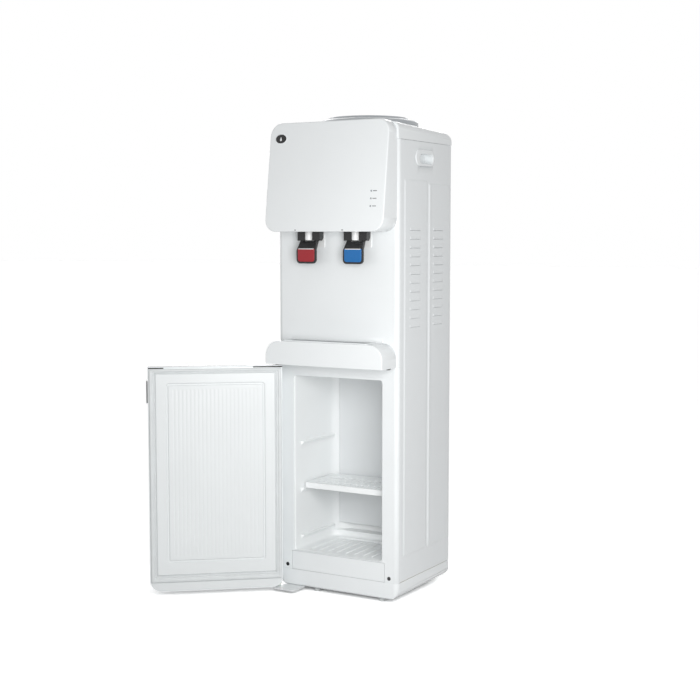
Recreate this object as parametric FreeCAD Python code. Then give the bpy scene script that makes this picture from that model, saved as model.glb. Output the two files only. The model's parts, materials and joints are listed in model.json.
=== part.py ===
import FreeCAD, Part
import math
import os

from FreeCAD import Matrix, Placement, Rotation, Vector

# Top-loading hot and cold water dispenser with a small refrigerated cabinet.
# Millimetres. X is right, Y is back and Z is up. The origin is on the floor, at the centre of
# the cabinet's footprint. The cabinet door stands open, at the end of its swing.

# ---- cabinet envelope ----
body_width = 300.0
body_depth = 250.0
foot_height = 10.0
base_height = 36.0
lower_front_height = 465.0
ledge_height = 51.0
bay_height = 235.0
head_height = 233.0
head_above_seam = 40.0
front_corner = 10.0
sheet = 1.0
moulding_wall = 3.0
running_gap = 0.3
fit_gap = 0.1

half_width = body_width / 2
front = -body_depth / 2
back = body_depth / 2
base_top = foot_height + base_height
ledge_bottom = base_top + lower_front_height
ledge_top = ledge_bottom + ledge_height
head_bottom = ledge_top + bay_height
head_top = head_bottom + head_height
cover_seam = head_top - head_above_seam
inner_front = front + front_corner + sheet

# ---- mouldings that stand out from the front ----
nose_depth = 62.0
head_setback = 4.0
head_top_depth = 32.0
head_corner = 28.0
face_plate_thickness = 3.0
ledge_setback = 5.0
ledge_corner = 32.0

nose = front - nose_depth
head_half_width = half_width - head_setback
ledge_half_width = half_width - ledge_setback

# ---- side panels ----
side_inset = 0.8
flange_width = 14.0
field_rise = 1.5
field_slope = 1.2
field_margin_below = 52.0
field_margins_above = (81.0, 87.0)
field_margin_front = 25.3
field_margin_back = 7.0
field_split = 8.5
field_spacing = 3.8
field_corner = 6.0
louvre_count = 12
louvre_pitch = 18.8
louvre_drop = 188.0
louvre_length = 48.0
louvre_slot = 3.2
louvre_hood = 3.2
louvre_hood_rise = 1.4
louvre_skin = 0.6
louvre_margins = (35.3, 35.4)
handle_plate_ends = (-47.5, 40.0)
handle_plate_height = 35.0
handle_plate_drop = 17.0
handle_plate_thickness = 1.8
handle_pocket_ends = (-29.0, 33.0)
handle_pocket_height = 21.0
handle_depth = 24.0
handle_wall = 2.0

side_face = half_width - side_inset
inner_side = side_face - sheet - fit_gap
field_back = back - field_margin_back
field_edges = ((front + field_margin_front, field_split), (field_split + field_spacing, field_back))
field_bottom = base_top + field_margin_below
field_tops = tuple(cover_seam - margin for margin in field_margins_above)
louvre_top = cover_seam - louvre_drop
louvre_ends = (field_split - louvre_margins[0], field_back - louvre_margins[1])
handle_z = cover_seam - handle_plate_drop - handle_plate_height / 2

# ---- refrigerated cabinet ----
opening_margin = 38.0
frame_lap = 2.0
cavity_floor_height = 44.0
cavity_top_drop = 29.0
cavity_back_margin = 60.0
cavity_corner = 40.0
liner_wall = 2.0
liner_floor = 6.0
liner_flange = 6.0
flange_thickness = 1.5
rail_heights = (28.7, 134.7, 240.7)
rail_rise = 5.0
rail_height = 6.0
rail_setback = 29.0
rail_end_gap = 23.0
shelf_rail = 1
shelf_side_gap = 3.5
shelf_setback = 37.0
shelf_lip = 12.0
shelf_plate = 2.5
shelf_rim = 3.0
step_depth = 17.0
step_height = 16.0
recess_depth = 3.0
recess_margin = 22.0
plate_gap = 15.0
plate_thickness = 1.6
plate_side_gap = 1.4
plate_foot_gap = 32.0
plate_head_gap = 14.0
inset_margin = 32.0
inset_drop = 2.0
inset_gap = 0.8
plug_margin = 21.0
plug_height = 9.5
plug_radius = 4.0

frame_opening_half = half_width - opening_margin
cavity_half = frame_opening_half - frame_lap
cavity_bottom = base_top + cavity_floor_height
cavity_top = ledge_bottom - cavity_top_drop
cavity_back = back - cavity_back_margin
rail_tops = tuple(cavity_bottom + height for height in rail_heights)
rail_front = front + rail_setback
rail_back = cavity_back - rail_end_gap
shelf_half = cavity_half - shelf_side_gap
shelf_front = front + shelf_setback
shelf_back = rail_back
plate_front = cavity_back - plate_gap
plate_bottom = cavity_bottom + plate_foot_gap
plate_top = cavity_top - plate_head_gap
inset_half = half_width - inset_margin
inset_top = cavity_bottom - inset_drop
plug_x = half_width - plug_margin
plug_z = base_top + plug_height

# ---- door, drawn shut and then swung open ----
door_open_angle = 140.5
door_setback = 4.0
door_floor_gap = 0.8
door_ledge_gap = 4.0
door_seal_gap = 6.0
door_wall = 3.0
door_corner = 25.0
door_edge = 14.0
top_cap_height = 4.0
hinge_margin = 7.7
hinge_reach = 22.3
pin_radius = 3.0
pin_running_gap = 0.05
bush_radius = 5.5
bush_length = 12.0
gasket_margin = 2.2
gasket_width = 11.9
gasket_foot_gap = 20.8
gasket_head_gap = 6.0
gasket_foot_width = 14.2
gasket_head_width = 8.3
gasket_land = 0.6
gasket_bevel = 2.0
liner_panel = 2.5
panel_rise = 3.0
groove_side_gap = 24.9
groove_foot_gap = 30.2
groove_head_gap = 23.2
groove_width = 4.0
grip_drop = 82.0
grip_height = 48.0
grip_length = 30.0
grip_setback = 19.0
bracket_thickness = 3.0
bracket_length = 60.0
bracket_overhang = 20.7
bracket_lap = 25.0

door_half = half_width - door_setback
door_bottom = foot_height + door_floor_gap
door_top = ledge_bottom - door_ledge_gap
door_inner = front - door_seal_gap
hinge_x = hinge_margin - door_half
hinge_y = front - hinge_reach
gasket_outer_half = door_half - gasket_margin
gasket_inner_half = gasket_outer_half - gasket_width
gasket_bottom = door_bottom + gasket_foot_gap
gasket_top = door_top - gasket_head_gap
gasket_inner_bottom = gasket_bottom + gasket_foot_width
gasket_inner_top = gasket_top - gasket_head_width
groove_half = gasket_inner_half - groove_side_gap
groove_bottom = gasket_inner_bottom + groove_foot_gap
groove_top = gasket_inner_top - groove_head_gap
grip_bottom = door_top - grip_drop

# ---- taps ----
tap_x = 58.0
paddle_half = 24.5
paddle_drop = 68.0
paddle_height = 28.0
paddle_reach = 32.0
paddle_wall = 4.5
web_half = 19.5
web_height = 20.0
web_setback = 8.5
arm_half = 28.0
arm_setback = 1.5
arm_depth = 15.5
arm_chamfer = 6.0
lever_axis_reach = 12.0
lever_axis_height = 7.0
lever_hub = 7.0
lever_pin_radius = 2.5
nozzle_radius = 8.0
nozzle_bore = 4.5
nozzle_reach = 9.0
nozzle_length = 18.0
insert_margin = 3.5
insert_foot_gap = 4.0
insert_lap = 4.0
insert_proud = 1.2
insert_seat = 1.0
barrel_radius = 12.0
barrel_height = 25.0
barrel_depth = 27.0
apron_length = 33.0
apron_thickness = 2.3

paddle_bottom = head_bottom - paddle_drop
paddle_shoulder = paddle_bottom + paddle_height
paddle_front = front - paddle_reach
web_top = paddle_shoulder + web_height
web_front = paddle_front + web_setback
arm_bottom = web_top + 1.0
arm_front = web_front + arm_setback
arm_back = arm_front + arm_depth
arm_back_bottom = arm_bottom + arm_chamfer
lever_axis_y = front - lever_axis_reach
lever_axis_z = head_bottom + lever_axis_height
nozzle_y = lever_axis_y - nozzle_reach
nozzle_bottom = head_bottom - nozzle_length
insert_half = paddle_half - insert_margin
insert_bottom = paddle_bottom + insert_foot_gap
insert_top = paddle_shoulder + insert_lap
barrel_z = head_bottom + barrel_height
apron_bottom = head_bottom - apron_length

# ---- back sheet ----
rear_margin = 21.5
rear_sheet = 1.0

rear_y = back - rear_margin

# ---- top and water path ----
axis_y = 10.0
cover_front_rise = 36.0
cover_back_rise = 28.0
cover_side_edge = 16.0
cover_rear_edge = 24.0
cover_wall = 2.5
cover_hole = 80.0
boss_margin = 6.5
boss_rise = 4.0
boss_wall = 6.0
collar_lap = 3.5
collar_throat_wall = 2.0
collar_rim_width = 11.0
collar_rise = 17.0
throat_length = 12.0
well_rise = 10.0
well_radius = 70.0
neck_radius = 29.0
neck_length = 18.0
funnel_depth = 46.0
funnel_wall = 3.0
spike_seat = 20.0
tank_lid_gap = 4.0
tank_height = 135.0
tank_stand = 18.0
tank_wall = 1.5
jacket_gap = 1.5
jacket_thickness = 12.0
coil_thickness = 8.0
tube_radius = 5.0
tube_bore = 3.5
riser_setback = 53.0
tube_drop = 19.0

cover_front_top = cover_seam + cover_front_rise
cover_back_top = cover_seam + cover_back_rise
boss_radius = back - axis_y - boss_margin
boss_top = cover_front_top + boss_rise
collar_radius = boss_radius + collar_lap
collar_bore = cover_hole - collar_throat_wall
collar_rim = collar_bore + collar_rim_width
collar_top = boss_top + collar_rise
well_floor = cover_seam + well_rise
neck_bottom = well_floor - funnel_depth
tank_top = neck_bottom - tank_lid_gap
tank_bottom = tank_top - tank_height
tank_shelf_z = tank_bottom - tank_stand
jacket_radius = rear_y - axis_y - jacket_gap
tank_radius = jacket_radius - jacket_thickness - coil_thickness
riser_y = front + riser_setback
tube_z = tank_shelf_z - tube_drop

# ---- machine compartment ----
foam_cover = 11.0
shelf_sheet = 1.5
hot_margin = 75.0
hot_back_gap = 3.5
hot_radius = 42.0
hot_jacket_wall = 15.0
hot_stand = 40.0
hot_head_gap = 47.0
compressor_margin = 75.0
compressor_y = 30.0
compressor_radius = 56.0
compressor_height = 146.0
compressor_foot_lap = 6.0
mount_height = 14.0

machine_z = ledge_bottom + foam_cover
hot_jacket = hot_radius + hot_jacket_wall
hot_x = hot_margin - half_width
hot_y = rear_y - hot_jacket - hot_back_gap
hot_bottom = machine_z + hot_stand
hot_top = tank_shelf_z - hot_head_gap
compressor_x = half_width - compressor_margin

# ---- condenser and service parts on the back ----
condenser_gap = 9.5
condenser_margin = 32.0
condenser_height = 64.0
condenser_rows = 10
condenser_pitch = 40.0
condenser_tube = 2.4
wire_radius = 0.9
wire_count = 15
vent_height = 118.0
vent_pitch = 16.0
switch_x = (-95.0, -65.0)
switch_tilt = 8.0
knob_x = 60.0
gland_margin = 38.0
gland_height = 48.0
gland_bore = 3.7
drain_height = 28.0
screw_margin = 12.0
screw_ends = (34.0, 30.0)

condenser_y = rear_y + condenser_gap
condenser_half = half_width - condenser_margin
condenser_bottom = base_top + condenser_height
switch_z = tube_z
gland_x = half_width - gland_margin
gland_z = machine_z + gland_height
drain_z = hot_bottom + drain_height

PARTS = "parts"


def box(x0, x1, y0, y1, z0, z1):
    """Rectangular block between two corners."""
    return Part.makeBox(x1 - x0, y1 - y0, z1 - z0, Vector(x0, y0, z0))


def rod(radius, start, end):
    """Round bar between two points."""
    run = Vector(*end).sub(Vector(*start))
    return Part.makeCylinder(radius, run.Length, Vector(*start), run)


def on_axis(axis, u, v, w):
    """Point at (u, v) of the section, w along the axis."""
    if axis == "x":
        return Vector(w, u, v)
    if axis == "y":
        return Vector(u, w, v)
    return Vector(u, v, w)


def direction(axis, length):
    """Vector of the given length along an axis."""
    return on_axis(axis, 0, 0, length)


def rounded_bar(axis, u0, u1, v0, v1, w0, w1, radii):
    """Bar along an axis with a rectangular section.

    The four radii round the section's corners in turn from (u0, v0) through (u1, v0).
    """
    corners = ((u0, v0, 1, 1), (u1, v0, -1, 1), (u1, v1, -1, -1), (u0, v1, 1, -1))
    slack = 1 - math.sqrt(0.5)
    stops = []
    for index, (corner, radius) in enumerate(zip(corners, radii)):
        u, v, du, dv = corner
        along_v = on_axis(axis, u, v + dv * radius, w0)
        along_u = on_axis(axis, u + du * radius, v, w0)
        middle = on_axis(axis, u + du * radius * slack, v + dv * radius * slack, w0)
        pair = (along_v, middle, along_u) if index % 2 == 0 else (along_u, middle, along_v)
        stops.append((pair, radius))
    edges = []
    for index, (stop, radius) in enumerate(stops):
        before = stops[index - 1][0][2]
        if before.sub(stop[0]).Length > 1e-6:
            edges.append(Part.makeLine(before, stop[0]))
        if radius > 0:
            edges.append(Part.Arc(*stop).toShape())
    return Part.Face(Part.Wire(edges)).extrude(direction(axis, w1 - w0))


def slab(axis, points, w0, w1):
    """Straight-sided section drawn as (u, v) points, pushed along an axis."""
    wire = Part.makePolygon([on_axis(axis, u, v, w0) for u, v in points + points[:1]])
    return Part.Face(wire).extrude(direction(axis, w1 - w0))


def turned(points, x, y):
    """Section drawn as (radius, z) points, turned round a vertical axis at (x, y)."""
    wire = Part.makePolygon([Vector(x + r, y, z) for r, z in points + points[:1]])
    return Part.Face(wire).revolve(Vector(x, y, 0), Vector(0, 0, 1), 360)


def tube(x, y, outer, inner, z0, z1):
    """Upright pipe."""
    return turned([(inner, z0), (outer, z0), (outer, z1), (inner, z1)], x, y)


def joined(shapes):
    """One solid from several that touch or overlap."""
    return shapes[0].multiFuse(shapes[1:]).removeSplitter()


def mirrored(shape):
    """The same piece on the other side of the cabinet."""
    matrix = Matrix()
    matrix.A11 = -1
    return shape.transformGeometry(matrix)


def bent_path(points, bend):
    """Wire of straight runs joined by tangent arcs of one radius."""
    points = [Vector(*point) for point in points]
    edges = []
    start = points[0]
    for before, corner, after in zip(points, points[1:], points[2:]):
        into = corner.sub(before).normalize()
        out = after.sub(corner).normalize()
        half_turn = into.getAngle(out) / 2
        setback = bend * math.tan(half_turn)
        entry = corner.sub(into * setback)
        leave = corner.add(out * setback)
        inward = out.sub(into).normalize()
        depth = bend * (1 / math.cos(half_turn) - 1)
        edges.append(Part.makeLine(start, entry))
        edges.append(Part.Arc(entry, corner.add(inward * depth), leave).toShape())
        start = leave
    edges.append(Part.makeLine(start, points[-1]))
    return Part.Wire(edges)


def piped(points, bend, radius):
    """Round bar that follows a bent path."""
    path = bent_path(points, bend)
    heading = Vector(*points[1]).sub(Vector(*points[0]))
    ring = Part.Wire(Part.makeCircle(radius, Vector(*points[0]), heading))
    return path.makePipeShell([ring], True, False)


def hose(points, bend, outer, inner):
    """Bent pipe with its bore."""
    return piped(points, bend, outer).cut(piped(points, bend, inner))


def swung_open(shape):
    """Turns a piece of the shut door to where the open door stands."""
    copy = shape.copy()
    copy.rotate(Vector(hinge_x, hinge_y, 0), Vector(0, 0, 1), -door_open_angle)
    return copy


def head_front(z):
    """Y of the head's leaning front face at a height."""
    share = (z - head_bottom) / head_height
    return front - nose_depth + (nose_depth - head_top_depth) * share


# ---- base and feet ----

foot_radius = 8.0
foot_setback = 17.0
foot_inset = 38.0
foot_places = ((hinge_x + bracket_length + 18.3, front + foot_setback),
               (half_width - foot_inset - 8.0, front + foot_setback),
               (foot_inset - half_width, back - 45.0), (half_width - foot_inset, back - 45.0))
stem_radius = 4.0
stem_length = 10.0
base_floor = 3.0
base_corner = 22.0
base_rear_corner = 14.0


def base_pan():
    """Moulded tray with ribs; its lower corners are rounded all the way through."""
    outer = rounded_bar("z", -half_width, half_width, front, back, foot_height, base_top,
                        (front_corner, front_corner, 4, 4))
    outer = outer.common(rounded_bar("y", -half_width, half_width, foot_height, base_top,
                                     front, back, (base_corner, base_corner, 0, 0)))
    outer = outer.common(rounded_bar("x", front, back, foot_height, base_top,
                                     -half_width, half_width, (3, base_rear_corner, 0, 0)))
    wall = moulding_wall
    pocket = rounded_bar("z", -half_width + wall, half_width - wall, front + wall, back - wall,
                         foot_height + base_floor, base_top + 1, (8, 8, 2, 2))
    pocket = pocket.common(rounded_bar("y", -half_width + wall, half_width - wall,
                                       foot_height + base_floor, base_top + 1, front, back,
                                       (base_corner - wall, base_corner - wall, 0, 0)))
    pocket = pocket.common(rounded_bar("x", front + wall, back - wall, foot_height + base_floor,
                                       base_top + 1, -half_width, half_width,
                                       (0, base_rear_corner - wall, 0, 0)))
    rib_half = 1.25
    ribs = []
    for x in (-74.0, 0.0, 74.0):
        ribs.append(box(x - rib_half, x + rib_half, front, back, foot_height, base_top))
    for y in (-42.0, 42.0):
        ribs.append(box(-half_width, half_width, y - rib_half, y + rib_half, foot_height, base_top))
    for x, y in foot_places:
        ribs.append(rod(stem_radius + 4, (x, y, foot_height), (x, y, foot_height + stem_length + 4)))
    pan = outer.cut(pocket.cut(ribs[0].multiFuse(ribs[1:])))
    holes = []
    for x, y in foot_places:
        holes.append(rod(stem_radius, (x, y, foot_height - 1), (x, y, foot_height + stem_length)))
    return pan.cut(holes)


def rubber_feet():
    """Four round feet, each with a stem pressed into the base."""
    feet = []
    for x, y in foot_places:
        pad = rod(foot_radius, (x, y, 0), (x, y, foot_height))
        pad = pad.makeChamfer(1.0, [edge for edge in pad.Edges if edge.BoundBox.ZMax < 0.1])
        stem = rod(stem_radius - fit_gap, (x, y, foot_height - 1), (x, y, foot_height + stem_length - 1))
        feet.append(joined([pad, stem]))
    return feet


# ---- side panels and handles ----

def side_skin():
    """Right side: flanged sheet with two raised fields, louvres and a hand hole."""
    face = side_face
    y0 = front + front_corner
    flange = flange_width
    pieces = [box(face - sheet, face, y0, back, base_top, cover_seam)]
    pieces.append(box(face - flange, face, y0, y0 + sheet, base_top, cover_seam))
    pieces.append(box(face - flange, face, back - sheet, back, base_top, cover_seam))
    for (edge0, edge1), top in zip(field_edges, field_tops):
        pieces.append(raised_field(face, edge0, edge1, top))
    for end in louvre_ends:
        for z in louvre_heights():
            pieces.append(louvre_wedge(face + field_rise, z, end - louvre_length, end, 0))
    skin = pieces[0].multiFuse(pieces[1:])
    cuts = []
    for (edge0, edge1), top in zip(field_edges, field_tops):
        cuts.append(field_hollow(face, edge0, edge1, top))
    for end in louvre_ends:
        for z in louvre_heights():
            cuts.append(louvre_wedge(face + field_rise, z, end - louvre_length, end, louvre_skin))
            cuts.append(box(face - sheet - 1, face + field_rise, end - louvre_length + louvre_skin,
                            end - louvre_skin, z - louvre_slot / 2, z + louvre_slot / 2))
    y0, y1, z0, z1 = handle_pocket()
    rim = handle_wall + running_gap
    cuts.append(box(face - sheet - 1, face + 1, y0 - rim, y1 + rim, z0 - rim, z1 + rim))
    return skin.cut(cuts)


def louvre_wedge(x, z, y0, y1, skin):
    """Hood of a louvre, or the space under it when a skin is given; it is open at the bottom."""
    low = z - louvre_slot / 2
    if skin:
        section = [(x - sheet - 0.2, low - 1), (x + louvre_hood_rise - skin, low - 1),
                   (x + louvre_hood_rise - skin, low), (x - sheet - 0.2, z + louvre_slot / 2)]
    else:
        section = [(x - 0.3, low), (x + louvre_hood_rise, low),
                   (x + louvre_hood_rise, low + 0.5), (x - 0.3, z + louvre_slot / 2 + louvre_hood)]
    return slab("y", section, y0 + skin, y1 - skin)


def louvre_heights():
    """Middle heights of a column's louvres, from the top down."""
    return [louvre_top - index * louvre_pitch for index in range(louvre_count)]


def raised_field(face, y0, y1, top):
    """Outer part of a pressed field, with sloping borders."""
    return field_block(face - sheet / 2, face + field_rise, y0, y1, field_bottom, top, 0)


def field_hollow(face, y0, y1, top):
    """Space behind a pressed field."""
    inner = face - sheet
    return field_block(inner - 0.5, inner + field_rise, y0, y1, field_bottom, top, sheet)


def field_block(x0, x1, y0, y1, z0, z1, inset):
    """Block that narrows outwards, for a pressed field or the space behind it."""
    low = Part.makePolygon([Vector(x0, y, z) for y, z in field_ring(y0, y1, z0, z1, inset)])
    high = Part.makePolygon([Vector(x1, y, z) for y, z in field_ring(y0, y1, z0, z1, inset + field_slope)])
    return Part.makeLoft([low, high], True, True)


def field_ring(y0, y1, z0, z1, inset):
    """Closed eight-sided outline of a field, its corners cut off."""
    y0, y1, z0, z1 = y0 + inset, y1 - inset, z0 + inset, z1 - inset
    cut = field_corner
    ring = [(y0 + cut, z0), (y1 - cut, z0), (y1, z0 + cut), (y1, z1 - cut),
            (y1 - cut, z1), (y0 + cut, z1), (y0, z1 - cut), (y0, z0 + cut)]
    return ring + ring[:1]


def handle_pocket():
    """Ends and heights of the hand pocket."""
    half = handle_pocket_height / 2
    return (*handle_pocket_ends, handle_z - half - 2, handle_z + half - 2)


def side_handle():
    """Hand pocket with a plate that lies on the side panel."""
    face = side_face
    y0, y1 = handle_plate_ends
    z0 = handle_z - handle_plate_height / 2
    z1 = z0 + handle_plate_height
    end = handle_plate_height / 2 - 1
    plate = rounded_bar("x", y0, y1, z0, z1, face, face + handle_plate_thickness, (end, end, end, end))
    y0, y1, z0, z1 = handle_pocket()
    wall = handle_wall
    inner_end = (z1 - z0) / 2 - 2
    shell = rounded_bar("x", y0 - wall, y1 + wall, z0 - wall, z1 + wall, face - handle_depth - wall,
                        face + 0.5, (3, 3, 3, 3))
    hollow = rounded_bar("x", y0, y1, z0, z1, face - handle_depth, face + 3,
                         (inner_end, inner_end, inner_end, inner_end))
    return joined([plate, shell]).cut(hollow)


# ---- front mouldings ----

def front_skin(z0, z1):
    """Front sheet of a moulding with rounded vertical corners and short side returns."""
    y1 = front + front_corner
    wall = moulding_wall
    outer = rounded_bar("z", -half_width, half_width, front, y1, z0, z1,
                        (front_corner, front_corner, 0, 0))
    inner_corner = front_corner - wall
    inner = rounded_bar("z", -half_width + wall, half_width - wall, front + wall, y1 + 1, z0 - 1, z1 + 1,
                        (inner_corner, inner_corner, 0, 0))
    return outer.cut(inner)


def front_frame():
    """Surround of the cabinet opening, with a cut for the inset panel."""
    skin = front_skin(base_top, ledge_bottom)
    opening = rounded_bar("y", -frame_opening_half, frame_opening_half, cavity_bottom, cavity_top,
                          front - 1, front + 5, (4, 4, 6, 6))
    inset = box(-inset_half, inset_half, front - 1, front + 5, base_top - 1, inset_top)
    holes = [rod(plug_radius + fit_gap, (side * plug_x, front - 1, plug_z),
                 (side * plug_x, front + 5, plug_z)) for side in (-1, 1)]
    return skin.cut([opening, inset] + holes)


def inset_panel():
    """Flat panel under the opening, with a hidden border behind the frame."""
    gap = inset_gap
    face = box(-inset_half + gap, inset_half - gap, front + 0.3, front + moulding_wall, base_top + 0.5,
               inset_top - 0.5)
    border = box(-inset_half - 5, inset_half + 5, front + moulding_wall, front + moulding_wall + 1.5,
                 base_top + 0.5,
                 cavity_bottom - liner_floor - fit_gap)
    return joined([face, border])


def dispensing_panel():
    """Flat wall behind the taps, carried up behind the head."""
    skin = front_skin(ledge_bottom, cover_seam)
    holes = [rod(barrel_radius + fit_gap, (side * tap_x, front - 1, barrel_z),
                 (side * tap_x, front + 5, barrel_z)) for side in (-1, 1)]
    half = head_half_width - 36
    window = box(-half, half, front - 1, front + 5, head_bottom + 63, cover_seam - 20)
    return skin.cut(holes + [window])


def nose_block(half, z0, z1, radii, y0, y1, inset):
    """Rounded outline pushed forward from the cabinet front, drawn in by an inset."""
    radii = [max(radius - inset, 0) for radius in radii]
    return rounded_bar("y", -half + inset, half - inset, z0 + inset, z1 - inset, y0, y1, radii)


def in_front_of_lean(offset):
    """Everything ahead of the head's leaning front, moved back by an offset."""
    low, high = head_bottom - 60, head_top + 60
    return slab("x", [(front - 200, low), (head_front(low) + offset, low),
                      (head_front(high) + offset, high), (front - 200, high)], -200, 200)


tap_window_half = arm_half + 3.0
badge_x = 28.5 - head_half_width
badge_z = head_top - 34.0
badge_half_wide = 13.0
badge_half_high = 9.5
badge_thickness = 1.6
lens_x = head_half_width - 32.5
lens_top = head_bottom + 84.0
lens_pitch = 15.7
lens_radius = 2.0


def head_housing():
    """Leaning hood over the taps, open at the back and below the taps."""
    radii = (head_corner,) * 4
    outer = nose_block(head_half_width, head_bottom, head_top, radii, front - 90, front, 0)
    outer = outer.cut(in_front_of_lean(face_plate_thickness))
    inner = nose_block(head_half_width, head_bottom, head_top, radii, front - 90, front + 1, moulding_wall)
    inner = inner.cut(in_front_of_lean(face_plate_thickness + 2))
    windows = []
    for side in (-1, 1):
        windows.append(box(side * tap_x - tap_window_half, side * tap_x + tap_window_half,
                           paddle_front - 9, front + 1, head_bottom - 1, head_bottom + moulding_wall + 1))
    holes = [lens_hole(z) for z in lens_heights()]
    return outer.cut([inner] + windows + holes)


def lens_heights():
    """Heights of the indicator lenses."""
    return [lens_top - index * lens_pitch for index in range(3)]


def lens_hole(z):
    """Hole for one indicator lens."""
    return rod(lens_radius + fit_gap, (lens_x, head_front(z) - 4, z), (lens_x, head_front(z) + 12, z))


def head_face_plate():
    """Glossy plate that forms the leaning front, its border rounded."""
    radii = (head_corner,) * 4
    plate = nose_block(head_half_width, head_bottom, head_top, radii, front - 90, front, 0)
    behind = in_front_of_lean(face_plate_thickness)
    plate = plate.common(behind).cut(in_front_of_lean(0))
    rim = []
    for edge in plate.Edges:
        middle = edge.valueAt((edge.FirstParameter + edge.LastParameter) / 2)
        if abs(middle.y - head_front(middle.z)) < 0.05:
            rim.append(edge)
    plate = plate.makeFillet(2.2, rim)
    return plate.cut([lens_hole(z) for z in lens_heights()])


def indicator_lenses():
    """Three small round lenses, one over another."""
    lenses = []
    for z in lens_heights():
        y = head_front(z)
        lenses.append(rod(lens_radius, (lens_x, y - 0.3, z), (lens_x, y + face_plate_thickness + 4, z)))
    return lenses


def indicator_board():
    """Circuit board behind the lenses, on two posts."""
    z0 = lens_top - 2 * lens_pitch - 12
    z1 = lens_top + 12
    y = head_front(z0) + face_plate_thickness + 10
    board = box(lens_x - 16, lens_x + 16, y, y + 1.6, z0, z1)
    posts = []
    for z in (z0 + 4, z1 - 4):
        posts.append(rod(2.5, (lens_x - 10, head_front(z) + face_plate_thickness + 2.1, z),
                         (lens_x - 10, y + 0.5, z)))
    return joined([board] + posts)


def drop_badge():
    """Small oval badge on the head's upper left."""
    y = head_front(badge_z)
    ellipse = Part.Ellipse(Vector(0, 0, 0), badge_half_wide, badge_half_high)
    face = Part.Face(Part.Wire(ellipse.toShape()))
    badge = face.extrude(Vector(0, 0, badge_thickness))
    lean = math.degrees(math.atan2(nose_depth - head_top_depth, head_height))
    badge.Placement = Placement(Vector(badge_x, y, badge_z), Rotation(Vector(1, 0, 0), 90 - lean))
    return badge


tray_half = ledge_half_width - 41.0
tray_front = nose + 7.0
tray_back = front - 10.0
tray_depth = 26.0
tray_bottom = ledge_top - tray_depth
tray_wall = 2.0
tray_rim = 4.0
tray_rim_thickness = 1.5
cove_radius = 9.0


def ledge_housing():
    """Hollow ledge under the taps with a well for the drip tray."""
    radii = (0, 0, ledge_corner, ledge_corner)
    outer = nose_block(ledge_half_width, ledge_bottom, ledge_top, radii, nose, front, 0)
    rim = [edge for edge in outer.Edges
           if edge.BoundBox.YMax < nose + 0.01 and edge.BoundBox.ZMax > ledge_bottom + 1]
    outer = outer.makeFillet(2.0, rim)
    inner = nose_block(ledge_half_width, ledge_bottom, ledge_top, radii, nose + moulding_wall,
                       front + 1, moulding_wall)
    well = box(-tray_half - running_gap, tray_half + running_gap, tray_front - running_gap,
               tray_back + running_gap, ledge_top - 6, ledge_top + 1)
    cove_block = box(-ledge_half_width + ledge_corner, ledge_half_width - ledge_corner,
                     front - cove_radius, front, ledge_top - 1, ledge_top + cove_radius)
    scoop = rod(cove_radius, (-200, front - cove_radius, ledge_top + cove_radius),
                (200, front - cove_radius, ledge_top + cove_radius))
    pin_hole = rod(pin_radius, (hinge_x, hinge_y, ledge_bottom - 1), (hinge_x, hinge_y, ledge_bottom + 5))
    plug_hole = rod(pin_radius + fit_gap, (-hinge_x, hinge_y, ledge_bottom - 1),
                    (-hinge_x, hinge_y, ledge_bottom + 5))
    shell = joined([outer.cut([inner, well]), cove_block.cut(scoop)])
    return shell.cut([pin_hole, plug_hole])


def drip_tray():
    """Shallow tray that hangs by its rim in the ledge."""
    rim = ledge_top + running_gap
    rim_top = rim + tray_rim_thickness
    body = rounded_bar("z", -tray_half, tray_half, tray_front, tray_back, tray_bottom, rim_top,
                       (5, 5, 5, 5))
    hollow = rounded_bar("z", -tray_half + tray_wall, tray_half - tray_wall, tray_front + tray_wall,
                         tray_back - tray_wall, tray_bottom + tray_wall, rim_top + 1, (3, 3, 3, 3))
    ends = [box(-tray_half - tray_rim, -tray_half + 1, tray_front + 6, tray_back - 6, rim, rim_top),
            box(tray_half - 1, tray_half + tray_rim, tray_front + 6, tray_back - 6, rim, rim_top)]
    rests = []
    for side in (-1, 1):
        x = side * (tray_half - tray_wall - 2)
        rests.append(box(x - 2, x + 2, tray_front + 1, tray_back - 1, tray_bottom + 1, grille_z()))
    return joined([body.cut(hollow)] + ends + rests)


def grille_z():
    """Height of the grille's underside."""
    return ledge_top - 2.0


grille_slots = 24
grille_pitch = 8.0
grille_bar = 3.0


def drip_grille():
    """Slotted plate that covers the tray."""
    gap = tray_wall + running_gap
    plate = rounded_bar("z", -tray_half + gap, tray_half - gap, tray_front + gap, tray_back - gap,
                        grille_z() + running_gap, grille_z() + 3.2, (2.5, 2.5, 2.5, 2.5))
    slots = []
    for index in range(grille_slots):
        x = (index - (grille_slots - 1) / 2) * grille_pitch
        half = (grille_pitch - grille_bar) / 2
        slots.append(box(x - half, x + half, tray_front + 8, tray_back - 8, ledge_top - 10, ledge_top + 10))
    return plate.cut(slots)


def hole_plugs():
    """Plugs in the spare hinge holes: two in the frame and one under the ledge."""
    plugs = []
    for side in (-1, 1):
        x = side * plug_x
        plugs.append(rod(plug_radius, (x, front - 0.4, plug_z), (x, front + 4, plug_z)))
    x = -hinge_x
    stem = rod(pin_radius, (x, hinge_y, ledge_bottom - 1), (x, hinge_y, ledge_bottom + 4))
    dome = Part.makeSphere(6.0, Vector(x, hinge_y, ledge_bottom), Vector(0, 0, 1), -90, 0, 360)
    squat = Matrix()
    squat.A33 = 0.6
    squat.A34 = ledge_bottom * 0.4
    plugs.append(joined([stem, dome.transformGeometry(squat)]))
    return plugs


# ---- refrigerated cabinet ----

def cavity_block(half, y0, y1, z0, z1, corner):
    """Cabinet space or its outside: square at the front, rounded upright at the back."""
    return rounded_bar("z", -half, half, y0, y1, z0, z1, (0, 0, corner, corner))


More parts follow.
